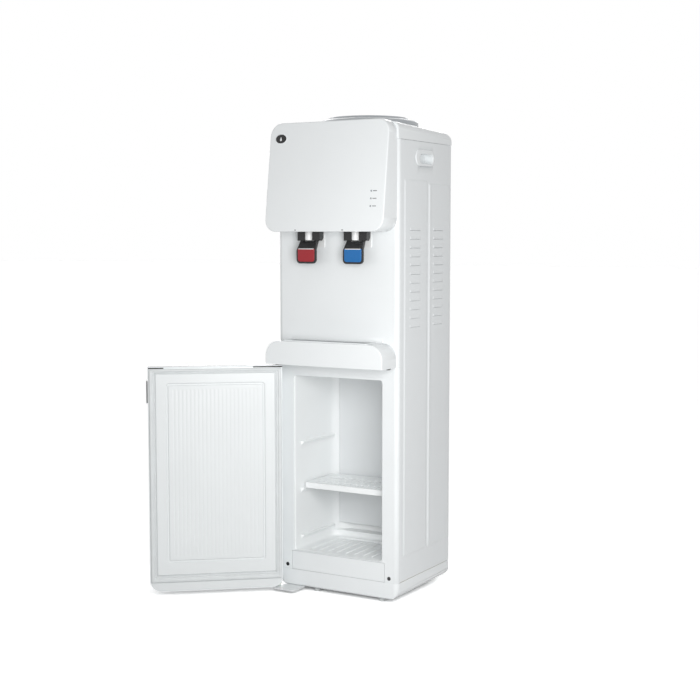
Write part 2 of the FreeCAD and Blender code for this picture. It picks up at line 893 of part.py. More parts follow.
def cabinet_liner():
    """Moulded tub with shelf rails, posts for the cold plate and a ribbed floor."""
    mouth = front + moulding_wall
    wall = liner_wall
    outer = cavity_block(cavity_half + wall, mouth, cavity_back + wall, cavity_bottom - liner_floor,
                         cavity_top + wall, cavity_corner + wall)
    inner = cavity_block(cavity_half, mouth - 1, cavity_back, cavity_bottom, cavity_top, cavity_corner)
    lip = wall + liner_flange
    flange = rounded_bar("y", -cavity_half - lip, cavity_half + lip, cavity_bottom - liner_floor,
                         cavity_top + lip, mouth, mouth + flange_thickness, (0, 0, 8, 8))
    pieces = [outer.fuse(flange).cut(inner)]
    for top in rail_tops:
        for side in (-1, 1):
            x0 = side * cavity_half
            x1 = side * (cavity_half - rail_rise)
            section = [(x0 + side, top - rail_height - 3), (x0, top - rail_height - 3),
                       (x1, top - 3), (x1, top), (x0 + side, top)]
            pieces.append(slab("y", section, rail_front, rail_back).common(outer))
            z = top - 3.4
            pieces.append(rod(3.2, (x0 + side, rail_front, z), (x1 - side * 1.5, rail_front, z)))
    flat = cavity_half - cavity_corner
    for x in (-flat, flat):
        for z in (plate_bottom + 40, plate_top - 40):
            pieces.append(rod(5.0, (x, plate_front + plate_thickness, z), (x, cavity_back + 1, z)))
    step = box(-cavity_half, cavity_half, cavity_back - step_depth, cavity_back + 1, cavity_bottom - 1,
               cavity_bottom + step_height)
    pieces.append(step.common(outer))
    liner = joined(pieces)
    half = cavity_half - recess_margin
    y0 = front + 25
    y1 = cavity_back - 29
    recess = rounded_bar("z", -half, half, y0, y1, cavity_bottom - recess_depth, cavity_bottom + 1,
                         (10, 10, 10, 10))
    ribs = [box(index * half / 4 - 1.5, index * half / 4 + 1.5, y0 + 8, y1 - 8,
                cavity_bottom - recess_depth - 1, cavity_bottom - 1) for index in range(-3, 4)]
    return liner.cut(recess.cut(ribs))


def cabinet_foam():
    """Insulation between the tub and the outer panels."""
    y0 = inner_front + fit_gap
    wall = liner_wall + fit_gap
    block = box(-inner_side, inner_side, y0, rear_y - fit_gap, base_top + fit_gap, machine_z - fit_gap)
    hollow = cavity_block(cavity_half + wall, front, cavity_back + wall, cavity_bottom - liner_floor
                          - fit_gap, cavity_top + wall, cavity_corner + wall)
    return block.cut(hollow)


def evaporator_plate():
    """Roll-bonded cold plate at the back of the cavity, with raised channels."""
    rise = cavity_corner - plate_gap + plate_thickness
    half = cavity_half - cavity_corner + math.sqrt(cavity_corner ** 2 - rise ** 2) - plate_side_gap
    plate = box(-half, half, plate_front, plate_front + plate_thickness, plate_bottom, plate_top)
    channels = []
    rows = 6
    pitch = (plate_top - plate_bottom - 60) / (rows - 1)
    for row in range(rows):
        z = plate_bottom + 30 + row * pitch
        channels.append(box(-50, 50, plate_front + plate_thickness - 0.5, plate_front + plate_thickness + 2.5,
                            z - 4, z + 4))
    return joined([plate] + channels)


def wire_slots():
    """Two rows of slots in the shelf, running front to back."""
    slots = []
    pitch = 15.5
    rows = ((shelf_front + 12, shelf_front + 38), (shelf_front + 62, shelf_back - 38))
    for row, (y0, y1) in enumerate(rows):
        for index in range(12):
            x = (index - 5.5) * pitch + row * 2
            slots.append(rounded_bar("z", x - 2.6, x + 2.6, y0, y1, cavity_bottom, cavity_top,
                                     (2.5, 2.5, 2.5, 2.5)))
    return slots


def shelf():
    """Moulded shelf with a lip all round, resting on a pair of rails."""
    z0 = rail_tops[shelf_rail] + running_gap
    z1 = z0 + shelf_lip
    corner = (3, 3, 20, 20)
    outer = rounded_bar("z", -shelf_half, shelf_half, shelf_front, shelf_back, z0, z1, corner)
    rim = shelf_rim
    inner = rounded_bar("z", -shelf_half + rim, shelf_half - rim, shelf_front + rim, shelf_back - rim,
                        z0 - 1, z1 - shelf_plate, (1, 1, 17, 17))
    ribs = [box(-shelf_half + 2, shelf_half - 2, y - 1.2, y + 1.2, z0 + 4, z1 - 1)
            for y in (shelf_front + 50, shelf_back - 26)]
    return joined([outer.cut(inner)] + ribs).cut(wire_slots())


# ---- door ----

def door_outline(inset, z0, z1, y0, y1):
    """Door block with rounded front edges and rounded lower corners."""
    half = door_half - inset
    edge = max(door_edge - inset, 1)
    corner = max(door_corner - inset, 1)
    block = rounded_bar("z", -half, half, y0, y1, z0, z1, (edge, edge, 0, 0))
    return block.common(rounded_bar("y", -half, half, z0, z1, y0, y1, (corner, corner, 0, 0)))


def bush_holes(radius):
    """Holes for the two hinge bushes."""
    low = rod(radius, (hinge_x, hinge_y, door_bottom - 1), (hinge_x, hinge_y, door_bottom + bush_length))
    high = rod(radius, (hinge_x, hinge_y, door_top - bush_length), (hinge_x, hinge_y, door_top + 1))
    return [low, high]


def door_shell():
    """Outer tub of the door, open towards the cabinet."""
    top = door_top - top_cap_height
    outer = door_outline(0, door_bottom, top, nose, door_inner)
    hollow = door_outline(door_wall, door_bottom + door_wall, top - door_wall, nose + door_wall,
                          door_inner + 1)
    bosses = []
    for z0, z1 in ((door_bottom, door_bottom + bush_length + 3), (top - bush_length - 3, top)):
        bosses.append(rod(bush_radius + 2, (hinge_x, hinge_y, z0), (hinge_x, hinge_y, z1)))
    shell = joined([outer.cut(hollow)] + [boss.common(outer) for boss in bosses])
    return shell.cut(bush_holes(bush_radius))


def door_foam():
    """Insulation inside the door."""
    gap = door_wall + fit_gap
    top = door_top - top_cap_height
    block = door_outline(gap, door_bottom + gap, top - gap, nose + gap, door_inner - liner_panel - fit_gap)
    low = door_bottom + bush_length + 3.3
    posts = [rod(bush_radius + 2.3, (hinge_x, hinge_y, 0), (hinge_x, hinge_y, low)),
             rod(bush_radius + 2.3, (hinge_x, hinge_y, top - bush_length - 3.3), (hinge_x, hinge_y, top))]
    return block.cut(posts)


liner_ribs = 22


def door_liner():
    """Inner door panel: raised middle, a grooved rectangle and fine upright ribs."""
    gap = door_wall + fit_gap
    top = door_top - top_cap_height - gap
    base = door_outline(gap, door_bottom + gap, top, door_inner - liner_panel, door_inner)
    half = gasket_inner_half - fit_gap
    field = rounded_bar("y", -half, half, gasket_inner_bottom + fit_gap, gasket_inner_top - fit_gap,
                        door_inner - 1, door_inner + panel_rise, (5, 5, 5, 5))
    outer_groove = rounded_bar("y", -groove_half, groove_half, groove_bottom, groove_top,
                               door_inner + 1, door_inner + panel_rise + 1, (6, 6, 6, 6))
    inner_half = groove_half - groove_width
    island = rounded_bar("y", -inner_half, inner_half, groove_bottom + groove_width,
                         groove_top - groove_width, door_inner, door_inner + panel_rise + 2, (4, 4, 4, 4))
    pitch = 2 * (inner_half - 8) / (liner_ribs - 1)
    flutes = []
    for index in range(liner_ribs):
        x = -inner_half + 8 + index * pitch
        flutes.append(box(x - 0.6, x + 0.6, door_inner + panel_rise - 0.5, door_inner + panel_rise + 1,
                          groove_bottom + 14, groove_top - 14))
    return joined([base, field]).cut([outer_groove.cut(island)] + flutes)


def door_gasket():
    """Soft seal round the inner panel."""
    y0 = door_inner
    y1 = front - gasket_land
    outer = rounded_bar("y", -gasket_outer_half, gasket_outer_half, gasket_bottom, gasket_top, y0, y1,
                        (3, 3, 3, 3))
    inner = rounded_bar("y", -gasket_inner_half, gasket_inner_half, gasket_inner_bottom,
                        gasket_inner_top, y0 - 1, y1 + 1, (5, 5, 5, 5))
    lip = [edge for edge in outer.Edges if edge.BoundBox.YMin > y1 - 0.01]
    return outer.makeChamfer(gasket_bevel, lip).cut(inner)


def door_top_cap():
    """Dark strip along the top of the door."""
    cap = rounded_bar("z", -door_half, door_half, nose, door_inner, door_top - top_cap_height, door_top,
                      (door_edge, door_edge, 0, 0))
    return cap.cut(bush_holes(bush_radius))


def door_grip():
    """Curved pull on the door's free edge."""
    x0 = door_half
    y1 = door_inner - grip_setback
    y0 = y1 - grip_length
    middle = (y0 + y1) / 2
    plate = rounded_bar("x", y0, y1, grip_bottom, grip_bottom + grip_height, x0, x0 + 3, (4, 4, 4, 4))
    scoop = rod(10, (x0 + 11, middle, grip_bottom - 1), (x0 + 11, middle, grip_bottom + grip_height + 1))
    return plate.cut(scoop)


def door_bushes():
    """Bushes that run on the hinge pins."""
    outer = bush_radius
    inner = pin_radius + pin_running_gap
    low = tube(hinge_x, hinge_y, outer, inner, door_bottom, door_bottom + bush_length)
    high = tube(hinge_x, hinge_y, outer, inner, door_top - bush_length, door_top)
    return [low, high]


def upper_hinge_pin():
    """Pin with a collar, pressed up into the ledge."""
    collar = rod(6.0, (hinge_x, hinge_y, door_top + 1), (hinge_x, hinge_y, ledge_bottom))
    low = door_top - bush_length + 2
    pin = rod(pin_radius, (hinge_x, hinge_y, low), (hinge_x, hinge_y, ledge_bottom + 3))
    return joined([collar, pin])


def lower_hinge_bracket():
    """Steel plate under the base that carries the lower hinge pin."""
    x0 = -door_half
    x1 = x0 + bracket_length
    y0 = hinge_y - bracket_overhang
    y1 = front + bracket_lap
    z1 = foot_height
    plate = rounded_bar("z", x0, x1, y0, y1, z1 - bracket_thickness, z1, (12, 8, 4, 4))
    pin = rod(pin_radius, (hinge_x, hinge_y, z1 - 1), (hinge_x, hinge_y, door_bottom + bush_length - 2))
    return joined([plate, pin])


# ---- taps ----

def tap_body(x):
    """Valve block with its barrel, apron and the lug that carries the lever pin."""
    half = nozzle_radius + 0.5
    lug = box(x - half, x + half, nozzle_y - 9, front - 6, head_bottom, barrel_z + 14)
    flange = rod(17, (x, front - 3, barrel_z), (x, front, barrel_z))
    barrel_end = front + barrel_depth
    barrel = rod(barrel_radius, (x, front - 7, barrel_z), (x, barrel_end, barrel_z))
    barb = rod(tube_bore - fit_gap, (x, barrel_end - 1, barrel_z), (x, barrel_end + 14, barrel_z))
    nut = rod(17, (x, front + moulding_wall, barrel_z), (x, front + 10, barrel_z))
    apron = box(x - arm_half + 0.5, x + arm_half - 0.5, front - apron_thickness, front, apron_bottom,
                head_bottom + 9)
    neck = box(x - half, x + half, front - 7, front - 1, head_bottom, head_bottom + 15)
    body = joined([lug, flange, barrel, barb, nut, apron, neck])
    pin_hole = rod(lever_pin_radius, (x - 40, lever_axis_y, lever_axis_z),
                   (x + 40, lever_axis_y, lever_axis_z))
    water = rod(nozzle_bore, (x, nozzle_y, head_bottom - 1), (x, nozzle_y, barrel_z))
    inlet = rod(2.2, (x, nozzle_y, barrel_z), (x, barrel_end + 18, barrel_z))
    return body.cut([pin_hole, water, inlet])


def tap_nozzle(x):
    """White spout under the valve block."""
    return tube(x, nozzle_y, nozzle_radius, nozzle_bore, nozzle_bottom, head_bottom)


def tap_lever(x):
    """Push lever: a hanging paddle, a sloping web and two arms up to the pin."""
    profile = [(paddle_front, paddle_bottom), (paddle_front + paddle_wall, paddle_bottom),
               (paddle_front + paddle_wall, paddle_shoulder), (web_front + paddle_wall, web_top - 3),
               (web_front + paddle_wall, web_top), (web_front, web_top),
               (paddle_front, paddle_shoulder + 1)]
    plate = slab("x", profile, x - arm_half, x + arm_half)
    lower = rounded_bar("y", x - paddle_half, x + paddle_half, paddle_bottom, paddle_shoulder, -170, -120,
                        (9, 9, 0, 0))
    upper = slab("y", [(x - paddle_half, paddle_shoulder - 1), (x + paddle_half, paddle_shoulder - 1),
                       (x + web_half, arm_bottom + 1), (x - web_half, arm_bottom + 1)], -170, -120)
    outline = joined([lower, upper])
    plate = plate.common(outline)
    cheek_profile = [(paddle_front + 1, paddle_shoulder + 1),
                     (paddle_front + paddle_wall, paddle_shoulder + 1),
                     (arm_back - 5, arm_bottom), (arm_back - 5, arm_bottom + 1), (arm_front, arm_bottom + 1),
                     (web_front + 0.5, web_top - 1)]
    cheeks = []
    for side in (-1, 1):
        inner = x + side * (web_half - 4)
        outer = x + side * (paddle_half + 1)
        cheeks.append(slab("x", cheek_profile, min(inner, outer), max(inner, outer)).common(outline))
    arms = []
    arm_profile = [(arm_front, arm_bottom), (arm_back - 5, arm_bottom), (arm_back, arm_back_bottom),
                   (arm_back, lever_axis_z), (lever_axis_y + lever_hub - 3, lever_axis_z + lever_hub),
                   (lever_axis_y - lever_hub + 2, lever_axis_z + lever_hub), (arm_front, lever_axis_z)]
    for side in (-1, 1):
        inner = x + side * (nozzle_radius + 1.5)
        outer = x + side * arm_half
        arms.append(slab("x", arm_profile, min(inner, outer), max(inner, outer)))
    lever = joined([plate] + cheeks + arms)
    seat = rounded_bar("y", x - insert_half - fit_gap, x + insert_half + fit_gap, insert_bottom - fit_gap,
                       insert_top + fit_gap, paddle_front - 5, paddle_front + insert_seat, (6, 6, 1.5, 1.5))
    hole = rod(lever_pin_radius + pin_running_gap, (x - 40, lever_axis_y, lever_axis_z),
               (x + 40, lever_axis_y, lever_axis_z))
    return lever.cut([seat, hole])


def lever_insert(x):
    """Coloured plate in the paddle."""
    return rounded_bar("y", x - insert_half, x + insert_half, insert_bottom, insert_top,
                       paddle_front - insert_proud, paddle_front + insert_seat, (6, 6, 1.5, 1.5))


def lever_pins():
    """Steel pins that carry the levers."""
    reach = arm_half - 0.5
    return [rod(lever_pin_radius, (side * tap_x - reach, lever_axis_y, lever_axis_z),
                (side * tap_x + reach, lever_axis_y, lever_axis_z)) for side in (-1, 1)]


# ---- top, bottle seat and tanks ----

def cover_block(inset, z0):
    """Top cover's outside, or its inside when drawn in by an inset.

    Side edges and rear edge are rounded; the top falls gently towards the back.
    """
    half = half_width - inset
    top = cover_front_top - inset
    fall = (cover_front_top - cover_back_top) / 220 * body_depth
    edge = cover_side_edge - inset
    section = rounded_bar("y", -half, half, z0 - 40, top, front + inset, front + inset + 1,
                          (0, 0, edge, edge))
    lid = section.Faces[0]
    for face in section.Faces:
        if face.BoundBox.YMax < front + inset + 0.01:
            lid = face
    sloped = lid.extrude(Vector(0, body_depth - 2 * inset, -fall))
    round_back = rounded_bar("x", front + inset, back - inset, z0, top - fall,
                             -half, half, (0, 0, cover_rear_edge - inset, 0))
    wedge = slab("x", [(front + inset, top - fall - 1), (back - inset - cover_rear_edge, top - fall - 1),
                       (back - inset - cover_rear_edge, top + 1), (front + inset, top + 1)], -half, half)
    return sloped.common(round_back.fuse(wedge))


def top_cover():
    """Moulded lid of the cabinet with a raised seat for the bottle collar."""
    outer = cover_block(0, cover_seam)
    inner = cover_block(cover_wall, cover_seam - 1)
    seat = rod(boss_radius, (0, axis_y, cover_back_top - 12), (0, axis_y, boss_top))
    bore = rod(boss_radius - boss_wall, (0, axis_y, cover_back_top - 14), (0, axis_y, boss_top - 4))
    shell = joined([outer.cut(inner), seat.cut(bore).cut(inner.cut(seat))])
    well = rod(cover_hole, (0, axis_y, cover_seam), (0, axis_y, boss_top + 5))
    space = rod(boss_radius - boss_wall, (0, axis_y, cover_back_top - 14), (0, axis_y, cover_back_top - 3))
    return shell.cut([well, space])


def bottle_collar():
    """Ring that centres the bottle: sloping skirt, upright rim and inner throat."""
    section = [(well_radius, well_floor), (well_radius + 3, well_floor), (cover_hole - 0.6, boss_top),
               (boss_radius + 0.8, boss_top), (boss_radius + 0.8, boss_top - 3.5),
               (collar_radius, boss_top - 3.5), (collar_radius, boss_top + 5),
               (collar_radius - 4, boss_top + 9.2), (collar_rim + 2, collar_top - 3.4),
               (collar_rim, collar_top - 2.6), (collar_rim, collar_top - 1.5),
               (collar_rim - 1.5, collar_top), (collar_bore + 2, collar_top), (collar_bore, collar_top - 2),
               (collar_bore, collar_top - 2 - throat_length)]
    return turned(section, 0, axis_y)


def bottle_funnel():
    """Cup under the collar that takes the bottle's neck."""
    wall = funnel_wall
    outer = well_radius + wall + 0.5
    section = [(well_radius, well_floor), (outer, well_floor), (outer, well_floor - 4),
               (neck_radius + wall + 1, neck_bottom + 14), (neck_radius + wall + 1, tank_top),
               (spike_seat, tank_top), (spike_seat, neck_bottom), (neck_radius, neck_bottom),
               (neck_radius, neck_bottom + neck_length)]
    return turned(section, 0, axis_y)


spike_radius = 8.0
spike_bore = 5.0


def piercing_spike():
    """Hollow spike that opens the bottle's cap and lets the water down."""
    low = tank_top - 54
    seat = spike_seat - fit_gap
    section = [(spike_bore, low), (spike_radius, low), (spike_radius, tank_top), (seat, tank_top),
               (seat, tank_top + 2.5), (spike_radius, tank_top + 2.5), (spike_radius, well_floor - 12),
               (3, well_floor + 2), (0, well_floor + 2), (0, well_floor - 10), (spike_bore, well_floor - 18)]
    spike = turned(section, 0, axis_y)
    z0 = well_floor - 34
    z1 = well_floor - 20
    windows = [box(-20, 20, axis_y - 2.5, axis_y + 2.5, z0, z1),
               box(-2.5, 2.5, axis_y - 20, axis_y + 20, z0, z1)]
    return spike.cut(windows)


def cold_tank():
    """Steel tank under the bottle, with a lid and two pipe stubs."""
    r = tank_radius
    wall = tank_wall
    section = [(0, tank_bottom), (r, tank_bottom), (r, tank_top), (spike_radius + 0.5, tank_top),
               (spike_radius + 0.5, tank_top - wall), (r - wall, tank_top - wall),
               (r - wall, tank_bottom + wall), (0, tank_bottom + wall)]
    tank = turned(section, 0, axis_y)
    stubs = [rod(tube_bore - fit_gap, (x, y, tank_bottom - 12), (x, y, tank_bottom + 1))
             for x, y in tank_outlets()]
    bores = [rod(2.2, (x, y, tank_bottom - 13), (x, y, tank_bottom + 3)) for x, y in tank_outlets()]
    return joined([tank] + stubs).cut(bores)


def tank_outlets():
    """Places of the cold tank's two outlets: to the cold tap and to the hot tank."""
    return ((40.0, -20.0), (-40.0, 30.0))


def cold_tank_jacket():
    """Foam jacket round the cold tank and its coil."""
    inner = tank_radius + coil_thickness + fit_gap
    section = [(0, tank_shelf_z + shelf_sheet), (jacket_radius, tank_shelf_z + shelf_sheet),
               (jacket_radius, tank_top - 2), (inner, tank_top - 2), (inner, tank_bottom - fit_gap),
               (0, tank_bottom - fit_gap)]
    jacket = turned(section, 0, axis_y)
    holes = [rod(tube_radius + 1, (x, y, tank_shelf_z - 7), (x, y, tank_bottom + 2))
             for x, y in tank_outlets()]
    return jacket.cut(holes)


def baffle():
    """Disc that keeps room-warm water above the chilled water."""
    z = tank_top - 46
    disc = tube(0, axis_y, tank_radius - 3, spike_radius + 1, z, z + 2)
    hub = tube(0, axis_y, spike_radius + 3, spike_radius + 0.05, z - 6, z + 8)
    return joined([disc, hub])


def cold_coil():
    """Refrigerant coil wound on the cold tank, as its outer form."""
    turns = 7
    pitch = coil_thickness
    z0 = tank_bottom + 17
    section = [(tank_radius + fit_gap, z0)]
    for turn in range(turns):
        z = z0 + turn * pitch
        section.append((tank_radius + coil_thickness - 2.5, z))
        section.append((tank_radius + coil_thickness, z + pitch * 0.3))
        section.append((tank_radius + coil_thickness, z + pitch * 0.7))
    section.append((tank_radius + coil_thickness - 2.5, z0 + turns * pitch))
    section.append((tank_radius + fit_gap, z0 + turns * pitch))
    return turned(section, 0, axis_y)


def shelf_sheet_piece(z, y0, y1, holes):
    """Flanged steel shelf across the cabinet, with holes."""
    half = inner_side
    top = box(-half, half, y0, y1, z, z + shelf_sheet)
    flanges = [box(-half, -half + shelf_sheet, y0, y1, z - 12, z + 0.5),
               box(half - shelf_sheet, half, y0, y1, z - 12, z + 0.5)]
    return joined([top] + flanges).cut(holes)


def machine_shelves():
    """Shelf under the compressor and shelf under the cold tank."""
    y0 = inner_front + fit_gap
    y1 = rear_y - fit_gap
    places = tank_outlets() + ((-tap_x, riser_y), (tap_x, riser_y))
    holes = [rod(tube_radius + 1, (x, y, tank_shelf_z - 1), (x, y, tank_shelf_z + 5)) for x, y in places]
    upper = shelf_sheet_piece(tank_shelf_z, y0, y1, holes)
    low = box(-inner_side, inner_side, y0, y1, machine_z, machine_z + shelf_sheet)
    upstand = box(-inner_side, inner_side, y0, y0 + shelf_sheet, machine_z, machine_z + 15)
    return [joined([low, upstand]), upper]


def hot_tank():
    """Steel boiler with a heater flange below, a drain spout and two pipe stubs."""
    x, y = hot_x, hot_y
    r = hot_radius
    wall = tank_wall
    section = [(0, hot_bottom), (r, hot_bottom), (r, hot_top), (0, hot_top), (0, hot_top - wall),
               (r - wall, hot_top - wall), (r - wall, hot_bottom + wall), (0, hot_bottom + wall)]
    tank = turned(section, x, y)
    heater = rod(18, (x, y, hot_bottom - 8), (x, y, hot_bottom + 0.5))
    loop = piped([(x - 12, y, hot_bottom), (x - 12, y, hot_bottom + 90), (x + 12, y, hot_bottom + 90),
                  (x + 12, y, hot_bottom)], 11, 4)
    stub_z = hot_top - 50
    spout_end = rear_y + 12.5
    spout = rod(7, (x, y + r - 3, drain_z), (x, spout_end, drain_z))
    top_stub = rod(tube_bore - fit_gap, (x, y - 20, hot_top - 1), (x, y - 20, hot_top + 14))
    side_stub = rod(tube_bore - fit_gap, (x + r - 3, y - 10, stub_z), (x + r + 14, y - 10, stub_z))
    bores = [rod(5, (x, y + r - 6, drain_z), (x, spout_end + 2, drain_z)),
             rod(2.2, (x, y - 20, hot_top - 3), (x, y - 20, hot_top + 15)),
             rod(2.2, (x + r - 6, y - 10, stub_z), (x + r + 15, y - 10, stub_z))]
    inside = rod(r - wall, (x, y, hot_bottom), (x, y, stub_z))
    return joined([tank.cut(bores), heater, loop, spout.cut([bores[0], inside]),
                   top_stub.cut(bores[1]), side_stub.cut(bores[2])])


def hot_tank_jacket():
    """Insulating jacket and stand of the boiler."""
    x, y = hot_x, hot_y
    inner = hot_radius + fit_gap
    z0 = machine_z + shelf_sheet
    section = [(30, z0), (hot_jacket, z0), (hot_jacket, hot_top + 8), (0, hot_top + 8),
               (0, hot_top + fit_gap), (inner, hot_top + fit_gap), (inner, hot_bottom - fit_gap),
               (30, hot_bottom - fit_gap)]
    jacket = turned(section, x, y)
    stub_z = hot_top - 50
    holes = [rod(7.3, (x, y, drain_z), (x, rear_y, drain_z)),
             rod(tube_radius + 0.5, (x, y - 20, hot_top - 5), (x, y - 20, hot_top + 20)),
             rod(tube_radius + 0.5, (x, y - 10, stub_z), (x + 80, y - 10, stub_z))]
    return jacket.cut(holes)


def compressor():
    """Sealed compressor: round can on a foot plate, with a terminal box and pipe stubs."""
    x, y = compressor_x, compressor_y
    z0 = machine_z + shelf_sheet + mount_height
    top = z0 + 4 + compressor_height
    half = compressor_radius + compressor_foot_lap
    can = rod(compressor_radius, (x, y, z0 + 4), (x, y, top))
    can = can.makeFillet(26, [edge for edge in can.Edges if edge.Length > 100 and len(edge.Vertexes) == 1])
    plate = rounded_bar("z", x - half, x + half, y - half, y + half, z0, z0 + 3, (10, 10, 10, 10))
    plate = plate.cut([rod(5, (px, py, z0 - 1), (px, py, z0 + 10)) for px, py in mount_places()])
    pedestal = rod(32, (x, y, z0 + 1), (x, y, z0 + 12))
    terminal = box(x - 20, x + 20, y - compressor_radius - 12, y - compressor_radius + 8, z0 + 50, z0 + 95)
    stubs = [rod(3.2, (x + dx, y + 30, top - 20), (x + dx, y + 30, top + 15)) for dx in (-20, 25)]
    return joined([can, plate, pedestal, terminal] + stubs)


def mount_places():
    """Middles of the compressor's four rubber mounts."""
    x, y = compressor_x, compressor_y
    reach = compressor_radius - 6
    return [(x + dx, y + dy) for dx in (-reach, reach) for dy in (-reach, reach)]


def compressor_mounts():
    """Rubber grommets under the compressor's foot plate."""
    z0 = machine_z + shelf_sheet
    mounts = []
    for x, y in mount_places():
        body = rod(9, (x, y, z0), (x, y, z0 + mount_height))
        neck = rod(4.9, (x, y, z0 + mount_height - 1), (x, y, z0 + mount_height + 5))
        mounts.append(joined([body, neck]))
    return mounts


def condenser():
    """Black condenser: a serpentine tube with upright wires welded on both faces."""
    points = []
    for row in range(condenser_rows):
        z = condenser_bottom + row * condenser_pitch
        ends = (-condenser_half, condenser_half) if row % 2 == 0 else (condenser_half, -condenser_half)
        points.append((ends[0], condenser_y, z))
        points.append((ends[1], condenser_y, z))
    coil = piped(points, condenser_pitch / 2 - 0.5, condenser_tube)
    reach = condenser_tube + wire_radius
    wires = []
    wire_pitch = (2 * condenser_half - 52) / (wire_count - 1)
    top = condenser_bottom + (condenser_rows - 1) * condenser_pitch
    for index in range(wire_count):
        x = (index - (wire_count - 1) / 2) * wire_pitch
        y = condenser_y + (reach if index % 2 else -reach)
        wires.append(rod(wire_radius, (x, y, condenser_bottom - 14), (x, y, top + 14)))
    feet = []
    for x in (-4.5 * wire_pitch, 4.5 * wire_pitch):
        for z in (condenser_bottom + condenser_pitch, top - condenser_pitch):
            pad = box(x - 5, x + 5, rear_y + rear_sheet, condenser_y + condenser_tube + 1, z - 5, z + 5)
            feet.append(pad.cut(rod(condenser_tube, (x - 10, condenser_y, z), (x + 10, condenser_y, z))))
    return [coil] + wires + feet


def water_tubes():
    """Silicone tubes: cold tank to cold tap, cold tank to boiler, boiler to hot tap."""
    (cold_x, cold_y), (feed_x, feed_y) = tank_outlets()
    z = tank_bottom - 2
    low = tube_z - 8
    stub_z = hot_top - 50
    barrel_end = front + barrel_depth
    cold = hose([(cold_x, cold_y, z), (cold_x, cold_y, low), (tap_x, riser_y, low),
                 (tap_x, riser_y, barrel_z), (tap_x, barrel_end, barrel_z)], 11, tube_radius, tube_bore)
    feed = hose([(feed_x, feed_y, z), (feed_x, feed_y, tube_z), (feed_x + 30, hot_y - 10, tube_z),
                 (feed_x + 30, hot_y - 10, stub_z), (hot_x + hot_radius + 2, hot_y - 10, stub_z)], 11,
                tube_radius, tube_bore)
    hot = hose([(hot_x, hot_y - 20, hot_top + 2), (hot_x, hot_y - 20, tube_z), (-tap_x, riser_y, tube_z),
                (-tap_x, riser_y, barrel_z), (-tap_x, barrel_end, barrel_z)], 11, tube_radius, tube_bore)
    return [cold, feed, hot]


# ---- back ----

def rear_panel():
    """Sheet back set in between the side panels, with vents and service holes."""
    panel = box(-inner_side, inner_side, rear_y, rear_y + rear_sheet, base_top + 0.2, cover_seam - 0.2)
    cuts = []
    for x in (-70.0, 70.0):
        for row in range(7):
            z = machine_z + vent_height + row * vent_pitch
            cuts.append(box(x - 40, x + 40, rear_y - 1, rear_y + 2, z - 2.5, z + 2.5))
    for x in switch_x:
        cuts.append(box(x - 10.2, x + 10.2, rear_y - 1, rear_y + 2, switch_z - 14.2, switch_z + 14.2))
    cuts.append(rod(4.2, (knob_x, rear_y - 1, switch_z), (knob_x, rear_y + 2, switch_z)))
    cuts.append(rod(8.1, (gland_x, rear_y - 1, gland_z), (gland_x, rear_y + 2, gland_z)))
    cuts.append(rod(7.3, (hot_x, rear_y - 1, drain_z), (hot_x, rear_y + 2, drain_z)))
    return panel.cut(cuts)


def switch_bezel(x):
    """Frame of a rocker switch, its box reaching in behind the panel."""
    y = rear_y + rear_sheet
    rim = box(x - 12, x + 12, y, y + 2, switch_z - 16, switch_z + 16)
    case = box(x - 10, x + 10, y - 22, y + 1, switch_z - 14, switch_z + 14)
    mouth = box(x - 8, x + 8, y - 12, y + 3, switch_z - 11.5, switch_z + 11.5)
    pivots = [rod(1.5, (x - 9, y - 2, switch_z), (x - 6, y - 2, switch_z)),
              rod(1.5, (x + 6, y - 2, switch_z), (x + 9, y - 2, switch_z))]
    return joined([rim, case]).cut(mouth).multiFuse(pivots).removeSplitter()


def rocker(x):
    """Rocker of a switch, tilted to its off side."""
    y = rear_y + rear_sheet
    profile = [(y - 6, switch_z - 9), (y + 1.5, switch_z - 10.5), (y + 3.5, switch_z - 10.2),
               (y + 1.6, switch_z), (y + 3.5, switch_z + 10.2), (y + 1.5, switch_z + 10.5),
               (y - 6, switch_z + 9)]
    body = slab("x", profile, x - 7.6, x + 7.6)
    hole = rod(1.55, (x - 12, y - 2, switch_z), (x + 12, y - 2, switch_z))
    body = body.cut(hole)
    body.rotate(Vector(x, y - 2, switch_z), Vector(1, 0, 0), -switch_tilt)
    return body


def thermostat_base():
    """Thermostat body behind the panel, with its bush and shaft hole."""
    y = rear_y
    body = box(knob_x - 16, knob_x + 16, y - 24, y, switch_z - 16, switch_z + 16)
    bush = rod(4.1, (knob_x, y - 1, switch_z), (knob_x, y + rear_sheet + 2, switch_z))
    return joined([body, bush]).cut(rod(3.05, (knob_x, y - 20, switch_z), (knob_x, y + 10, switch_z)))


def thermostat_knob():
    """Ribbed knob on the thermostat's shaft."""
    y = rear_y + rear_sheet + 2.4
    knob = rod(13, (knob_x, y, switch_z), (knob_x, y + 12, switch_z))
    knob = knob.makeChamfer(1.0, [edge for edge in knob.Edges if edge.BoundBox.YMin > y + 11])
    grips = []
    for index in range(18):
        angle = index * math.tau / 18
        x, z = knob_x + 13.6 * math.cos(angle), switch_z + 13.6 * math.sin(angle)
        grips.append(rod(1.4, (x, y + 2, z), (x, y + 14, z)))
    mark = box(knob_x - 0.7, knob_x + 0.7, y + 11.4, y + 13, switch_z + 3, switch_z + 11)
    shaft = rod(3.0, (knob_x, y - 18, switch_z), (knob_x, y + 1, switch_z))
    return joined([knob.cut(grips + [mark]), shaft])


